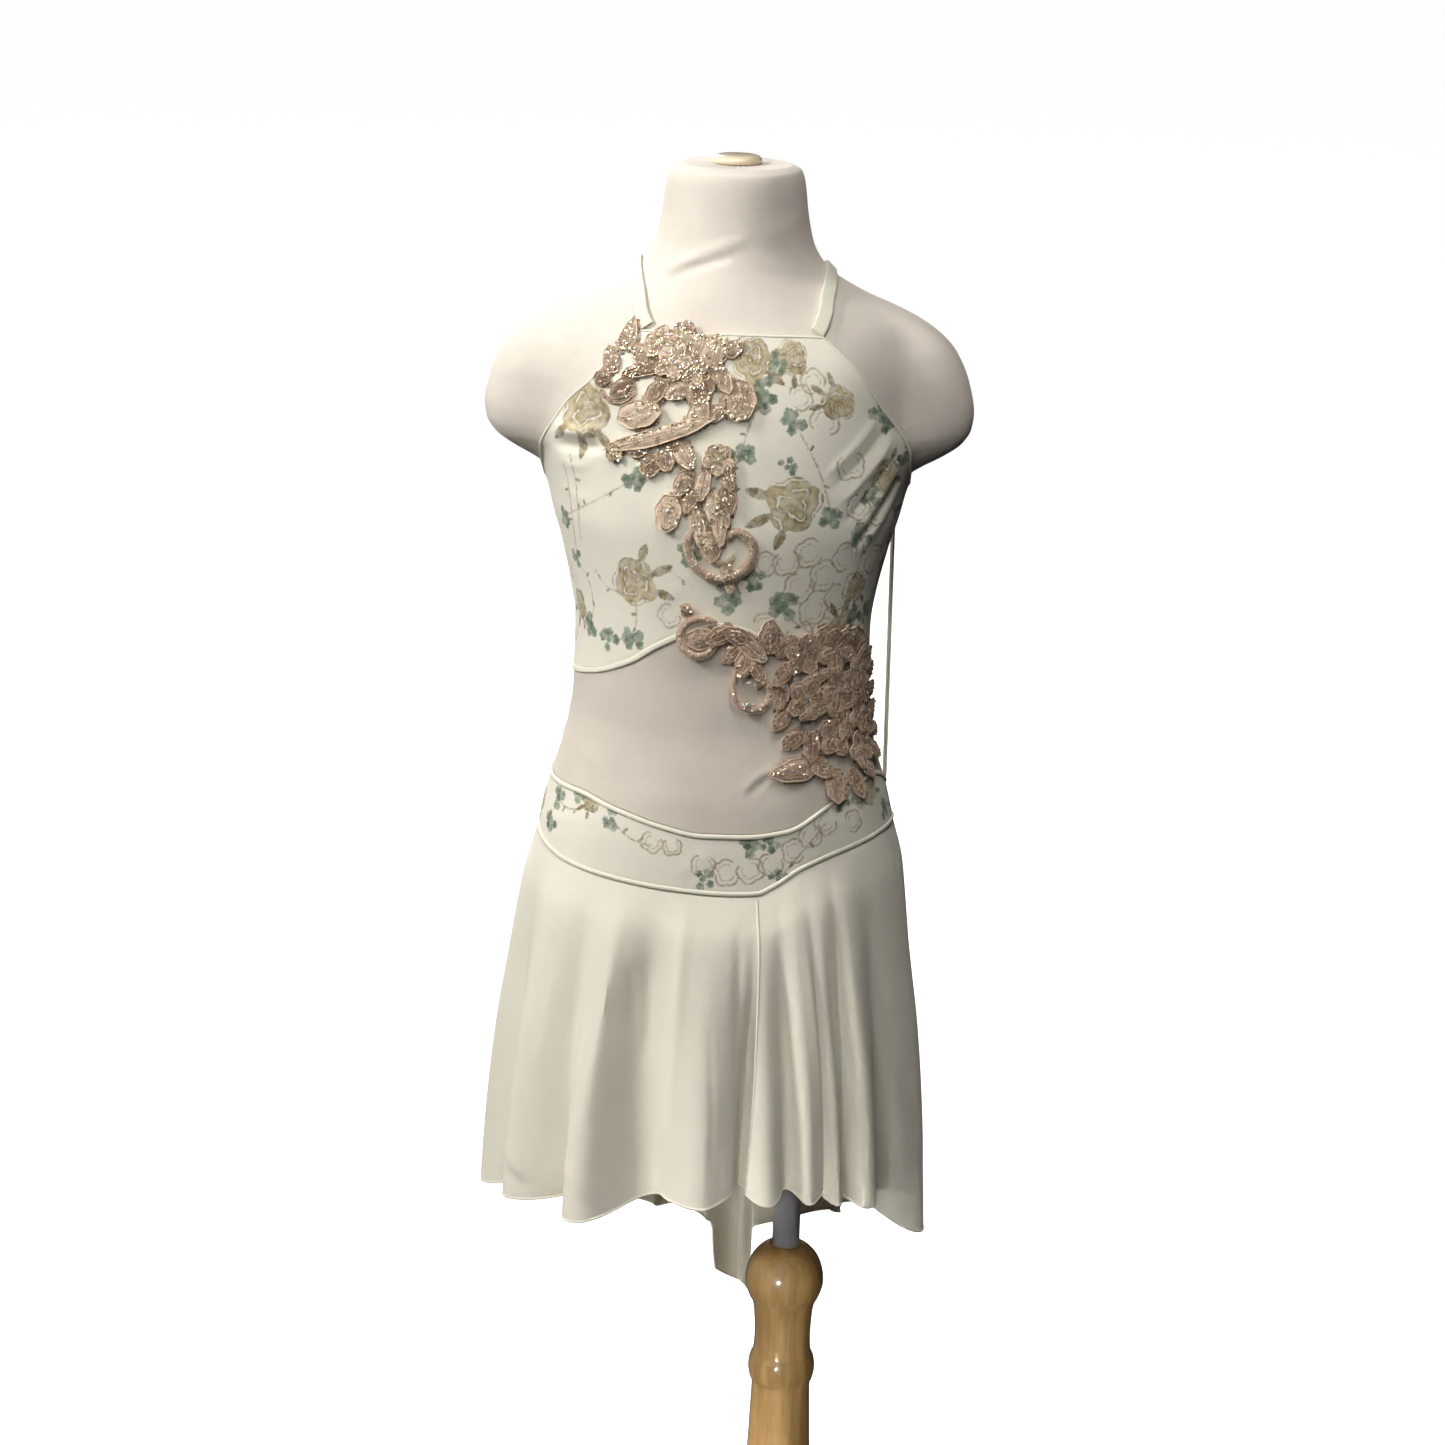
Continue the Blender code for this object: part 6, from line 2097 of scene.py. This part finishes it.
UPPER_LACE = LaceLayout(
    lift=2.8, seed=31, sparkle=1.5,
    # Low tints darken some petals as painted shade, such as those just under the long band at (-43,
    # 1030).
    petals=(
        (-81, 1093, 22, 14, 100, 0.5, 2.2, 0.8, 0.55), (-87, 1076, 19, 12, 118, 0.4, 1.8, 0.5),
        (-90, 1063, 11, 10, 170, 0.6, 1.5, 0, 0.15),
        (-75, 1058, 17, 13, 215, 0.6, 2.0, 0.2, 0.15),
        (-28, 1089, 17, 11, 62, 0.8, 2.2, 0.4, 0.7),
        (-13, 1085, 22, 18, 80, 0.6, 2.2, 0.15, 0.75), (2, 1087, 15, 11, 35, 0.5, 1.5, 0.3, 0.5),
        (-66, 1081, 19, 12, 150, 0.6, 2.0, 0.4, 0.6), (-61, 1071, 30, 9, 12, 0.5, 1.4, 0.5, 0.05),
        (-41, 1068, 24, 9, -14, 0.5, 1.4, 0.5, 0.1), (-5, 1067, 19, 12, 300, 1.0, 2.5, 0.3, 0.45),
        (-21, 1061, 22, 18, 250, 0.8, 2.4, 0.1, 0.2),
        (7, 1054, 26, 22, 262, 0.6, 2.5, 0.08, 0.45),
        (-36, 1059, 20, 12, 205, 1.0, 2.6, 0.3, 0.65),
        (-52, 1057, 19, 13, 232, 0.8, 2.2, 0.3, 0.4),
        (-61, 1042, 30, 19, 15, 0.8, 2.9, 0.2, 0.85),
        (-21, 1045, 21, 14, 70, 0.8, 2.7, 0.2, 0.85), (-8, 1046, 14, 10, 52, 0.8, 2.2, 0.3, 0.6),
        (-43, 1030, 72, 12, 20, 2.2, 2.9, 0.35, 0.9),
        (-60, 1018, 14, 10, 200, 0.5, 1.6, 0.2, 0.15),
        (-51, 1008, 15, 13, 240, 0.6, 2.0, 0.05, 0.2),
        (-41, 1013, 15, 12, 285, 0.5, 2.0, 0.1, 0.3),
        (-28, 1016, 19, 13, 305, 0.8, 2.5, 0.3, 0.65),
        (-38, 977, 25, 17, 264, 0.5, 2.2, 0.05, 0.8), (1, 1003, 18, 11, 282, 0.8, 2.4, 0.4, 0.25),
        (-16, 997, 21, 11, 262, 0.9, 2.6, 0.4, 0.75), (-29, 998, 19, 12, 244, 0.6, 2.2, 0.3, 0.5),
        (2, 988, 20, 11, 276, 0.8, 2.4, 0.4, 0.2), (-9, 983, 20, 10, 268, 1.0, 2.7, 0.4, 0.8),
        (-24, 986, 17, 9, 250, 0.6, 2.0, 0.4, 0.45), (-18, 968, 36, 10, 285, 0.6, 2.0, 0.45, 0.6),
        (-4, 969, 25, 10, 278, 1.0, 2.6, 0.45, 0.7), (-7, 952, 15, 9, 252, 0.6, 2.0, 0.4, 0.5),
        (1, 939, 13, 8, 262, 0.5, 1.8, 0.4, 0.55), (4, 928, 9, 6, 275, 0.4, 1.3, 0.3, 0.5),
        (-1, 975, 12, 8, 290, 0.6, 1.8, 0.3, 0.4), (-34, 1021, 15, 9, 15, 0.5, 1.2, 0.2, 0.05)),
    flowers=(
        (-56, 1089, 10, 20, 0.6, 0.6), (-39, 1094, 9, 60, 0.7, 0.6),
        (-43, 1078, 12, 0, 1.4, 0.75), (-76, 1015, 6, 30, 0.6, 0.6),
        (-6, 1015, 10, 50, 0.9, 0.75), (-27, 1073, 9, 10, 1.0, 0.5), (-12, 960, 6, 0, 1.4, 0.6)),
    scrolls=(Scroll(((-20, 967), (-25, 956), (-20, 942), (-8, 934), (6, 935), (16, 943), (19, 954),
                     (14, 963), (6, 966), (1, 961)), 3.6, 1.5, 0.35),
             Scroll(((-16, 952), (-9, 945), (1, 945), (7, 951)), 1.6, 1.1, 0.6),
             Scroll(((-90, 1056), (-84, 1050), (-74, 1050), (-66, 1056)), 1.6, 1.0, 0.3)),
    stones=((-81, 1094), (-61, 1043), (-38, 979), (7, 1056), (-21, 1063), (-13, 1087), (-9, 985)))

LOWER_LACE = LaceLayout(
    lift=3.7, seed=47,
    petals=(
        (-25, 909, 10, 8, 108, 0.4, 1.4, 0.2, 0.5), (-15, 890, 20, 15, 188, 0.3, 1.2, 0.0, 0.6),
        (-2, 893, 20, 13, 205, 0.6, 2.0, 0.2, 0.3), (11, 893, 22, 13, 150, 0.8, 2.4, 0.3, 0.35),
        (22, 884, 24, 13, 318, 0.8, 2.4, 0.3, 0.4), (34, 893, 25, 16, 96, 0.6, 2.3, 0.25, 0.5),
        (17, 874, 22, 13, 255, 0.8, 2.4, 0.2, 0.55), (7, 880, 15, 10, 230, 0.4, 1.6, 0.2, 0.35),
        (27, 868, 18, 10, 300, 0.8, 2.2, 0.3, 0.3), (46, 886, 18, 12, 60, 0.5, 1.9, 0.2, 0.4),
        (74, 890, 18, 13, 70, 0.5, 1.8, 0.1, 0.55), (104, 886, 19, 14, 50, 0.5, 2.0, 0.1, 0.6),
        (120, 878, 16, 13, 20, 0.5, 1.9, 0.1, 0.45), (46, 866, 20, 12, 232, 0.8, 2.3, 0.3, 0.5),
        (45, 850, 20, 11, 262, 0.5, 2.0, 0.3, 0.35), (46, 834, 17, 12, 236, 0.5, 2.0, 0.2, 0.5),
        (56, 820, 20, 13, 218, 0.6, 2.1, 0.2, 0.4), (70, 813, 20, 12, 262, 0.8, 2.3, 0.3, 0.3),
        (55, 798, 35, 18, 186, 0.6, 2.4, 0.55, 0.6), (76, 799, 20, 13, 320, 0.8, 2.4, 0.3, 0.4),
        (88, 785, 23, 17, 262, 0.5, 2.3, 0.1, 0.55), (107, 784, 21, 14, 282, 0.5, 2.1, 0.2, 0.35),
        (123, 792, 18, 12, 300, 0.5, 2.0, 0.2, 0.45),
        (141, 800, 17, 12, 320, 0.4, 1.8, 0.2, 0.55), (150, 813, 17, 11, 350, 0.4, 1.7, 0.3, 0.5),
        (152, 828, 16, 11, 12, 0.4, 1.6, 0.2, 0.4), (148, 842, 15, 11, 20, 0.4, 1.6, 0.2, 0.55),
        (142, 856, 15, 11, 40, 0.4, 1.6, 0.2, 0.4), (134, 868, 15, 11, 55, 0.4, 1.6, 0.2, 0.5),
        (74, 862, 26, 10, 22, 1.2, 2.6, 0.4, 0.65), (100, 850, 24, 10, 340, 1.2, 2.6, 0.4, 0.3),
        (72, 838, 24, 10, 200, 1.2, 2.6, 0.4, 0.55), (100, 826, 22, 10, 250, 1.2, 2.6, 0.4, 0.6),
        (124, 846, 20, 10, 290, 1.2, 2.4, 0.4, 0.35)),
    flowers=(
        (61, 879, 14, 15, 0.8, 0.5), (90, 880, 16, 50, 0.9, 0.55), (66, 848, 15, 0, 1.0, 0.45),
        (94, 850, 17, 35, 1.0, 0.5), (121, 862, 15, 10, 0.9, 0.6), (122, 832, 15, 60, 1.1, 0.4),
        (92, 820, 15, 5, 0.9, 0.45), (118, 806, 13, 45, 0.9, 0.6), (138, 822, 10, 15, 0.7, 0.5)),
    scrolls=(Scroll(((-4, 902), (-14, 905), (-25, 901), (-30, 892), (-27, 882), (-17, 878),
                     (-8, 882), (-7, 889), (-13, 892)), 2.6, 1.3, 0.5),
             Scroll(((22, 878), (13, 870), (9, 858), (12, 847), (22, 841), (33, 844), (37, 853),
                     (32, 860), (25, 857)), 2.5, 1.4, 0.55),
             Scroll(((-25, 903), (-22, 908), (-25, 914), (-30, 912)), 1.2, 0.9, 0.5),
             Scroll(((97, 884), (106, 893), (119, 890), (126, 880), (122, 870)), 2.0, 1.6, 0.6)),
    stones=((-16, 890), (20, 845), (30, 878), (52, 868), (47, 857), (34, 893), (54, 798),
            (88, 786), (75, 864), (100, 852), (106, 888), (150, 814), (124, 832), (72, 842)))


@dataclass
class Studio:
    """Pale floor, soft light and the camera at the photo's angle."""

    camera_at: Point = (-0.058, -2.5, 1.50)
    pitch: float = 74.53
    roll: float = 0.0311
    lens: float = 91.93
    reach: float = 30.0
    sky: float = 0.32
    warm: Colour = (1.0, 0.975, 0.94)
    white: Colour = (1.0, 1.0, 1.0)

    def place(self, name: str, data: bpy.types.ID, at: Matrix = Matrix()) -> bpy.types.Object:
        """Put a mesh, light or camera in the scene."""
        item = bpy.data.objects.new(name, data)
        item.matrix_world = at
        bpy.context.scene.collection.objects.link(item)
        return item

    def surround(self, name: str, work: bmesh.types.BMesh, numbers: dict[str, object],
                 *unseen: str) -> None:
        """A pale surface, left out of some kinds of the light's ways.

        Args:
            name: Its name.
            work: Its mesh.
            numbers: The shader's inputs.
            *unseen: The kinds of ray that don't meet it.
        """
        mesh = bpy.data.meshes.new("studio_" + name)
        work.to_mesh(mesh)
        work.free()
        item = self.place("studio_" + name, mesh)
        pale = Graph("pale_" + name)
        pale.feed(pale.shader, numbers | {"Emission Color": self.white})
        mesh.materials.append(pale.material)
        for kind in ("diffuse", "glossy", *unseen):
            setattr(item, "visible_" + kind, False)

    def build(self) -> None:
        """Lay the floor, hang the backdrop that only the camera sees, and light them."""
        work = bmesh.new()
        bmesh.ops.create_circle(work, cap_ends=True, segments=64, radius=self.reach)
        self.surround("floor", work, {"Base Color": (0.86, 0.86, 0.86), "Roughness": 0.9,
                                      "Emission Strength": 0.9})
        work = bmesh.new()
        bmesh.ops.create_uvsphere(work, u_segments=48, v_segments=24, radius=self.reach)
        bmesh.ops.reverse_faces(work, faces=work.faces)
        self.surround("backdrop", work, {"Base Color": (0.0, 0.0, 0.0), "Emission Strength": 0.97},
                      "shadow", "transmission", "volume_scatter")
        self.air()
        for lamp in (("key", (-2.8, -1.0, 3.0), 0.7, 106.0), ("fill", (-0.9, -3.4, 3.4), 1.2, 26.0),
                     ("top", (0.1, -1.2, 3.4), 1.0, 30.0), ("behind", (-1.2, 3.6, 2.2), 1.6, 95.0),
                     ("chest", (-0.8, -3.0, 2.6), 0.4, 0.08, (-0.02, -0.1, 0.96), 7.0),
                     ("pleats", (-1.3, -2.3, 0.75), 0.25, 0.035, (0.15, -0.07, 0.55), 4.5),
                     ("low", (-0.7, -2.2, 0.35), 0.3, 0.14, (0.01, 0.0, 0.34), 9.0)):
            self.light(*lamp)
        camera = bpy.data.cameras.new("photo_camera")
        camera.lens, camera.sensor_width, camera.clip_end = self.lens, 36.0, 100.0
        scene = bpy.context.scene
        scene.camera = self.place("photo_camera", camera, (
            Matrix.Translation(self.camera_at)
            @ Matrix.Rotation(math.radians(self.pitch), 4, "X")
            @ Matrix.Rotation(self.roll, 4, "Z")))
        scene.view_settings.view_transform = "Standard"

    def air(self) -> None:
        """World light: brighter overhead than below, with darker gaps between soft panels.

        The gaps are a sine of the bearing. The light falls off with the way's height, and
        from the viewer's left to the right.
        """
        world = bpy.data.worlds.new("studio_air")
        world.use_nodes = True
        sky = Tree(world.node_tree)
        x, y, z = sky.add("SeparateXYZ", {0: sky.add("TexCoord").outputs["Generated"]}).outputs
        bearing = sky.math("MULTIPLY", sky.math("ARCTAN2", x, y), 7.0)
        gaps = sky.math("MULTIPLY_ADD", sky.math("SINE", bearing), 0.45, 0.55)
        height = sky.math("POWER", sky.math("MULTIPLY_ADD", z, 0.5, 0.5), 1.6)
        strength = sky.math("MULTIPLY", sky.math("ADD", height, 0.11), gaps)
        strength = sky.math("MULTIPLY", strength, sky.math("MULTIPLY_ADD", x, -0.55, 0.66))
        sky.feed(world.node_tree.nodes["Background"], {
            "Color": (*self.warm, 1.0), "Strength": sky.math("MULTIPLY", strength, self.sky)})
        bpy.context.scene.world = world

    def light(self, name: str, at: Point, size: float, power: float,
              aim_at: Point = (FORM_X * MM, 0.0, 0.85), spread: float = 180.0) -> None:
        """A square soft light.

        Args:
            name: Its name.
            at: Its place, in metres.
            size: Its side, in metres.
            power: Its power, in watts.
            aim_at: The place that it faces.
            spread: The angle within which it shines, in degrees.
        """
        lamp = bpy.data.lights.new(name, "AREA")
        lamp.size, lamp.energy, lamp.color = size, power, self.warm
        lamp.spread = math.radians(spread)
        aim = (Vector(aim_at) - Vector(at)).to_track_quat("-Z", "Y").to_matrix().to_4x4()
        self.place(name, lamp, Matrix.Translation(at) @ aim).visible_camera = False


def main() -> None:
    """Build every sub-assembly, dress it and set up the studio."""
    logging.basicConfig(level=logging.INFO, format="%(message)s")
    materials: dict[str, bpy.types.Material] = {}
    parts = (FormCover(), Stand(), Bodice(), Midriff(), Basque(), Skirt(), Straps(),
             Applique("upper_lace", "applique_upper", Slot.ROSE, UPPER_LACE, ROSE_FINISHES),
             Applique("lower_lace", "applique_lower", Slot.DARK, LOWER_LACE, DARK_FINISHES))
    for part in parts:
        part.build()
        part.dress(materials)
    for part in parts:
        part.report()
    Studio().build()


if __name__ == "__main__":
    main()
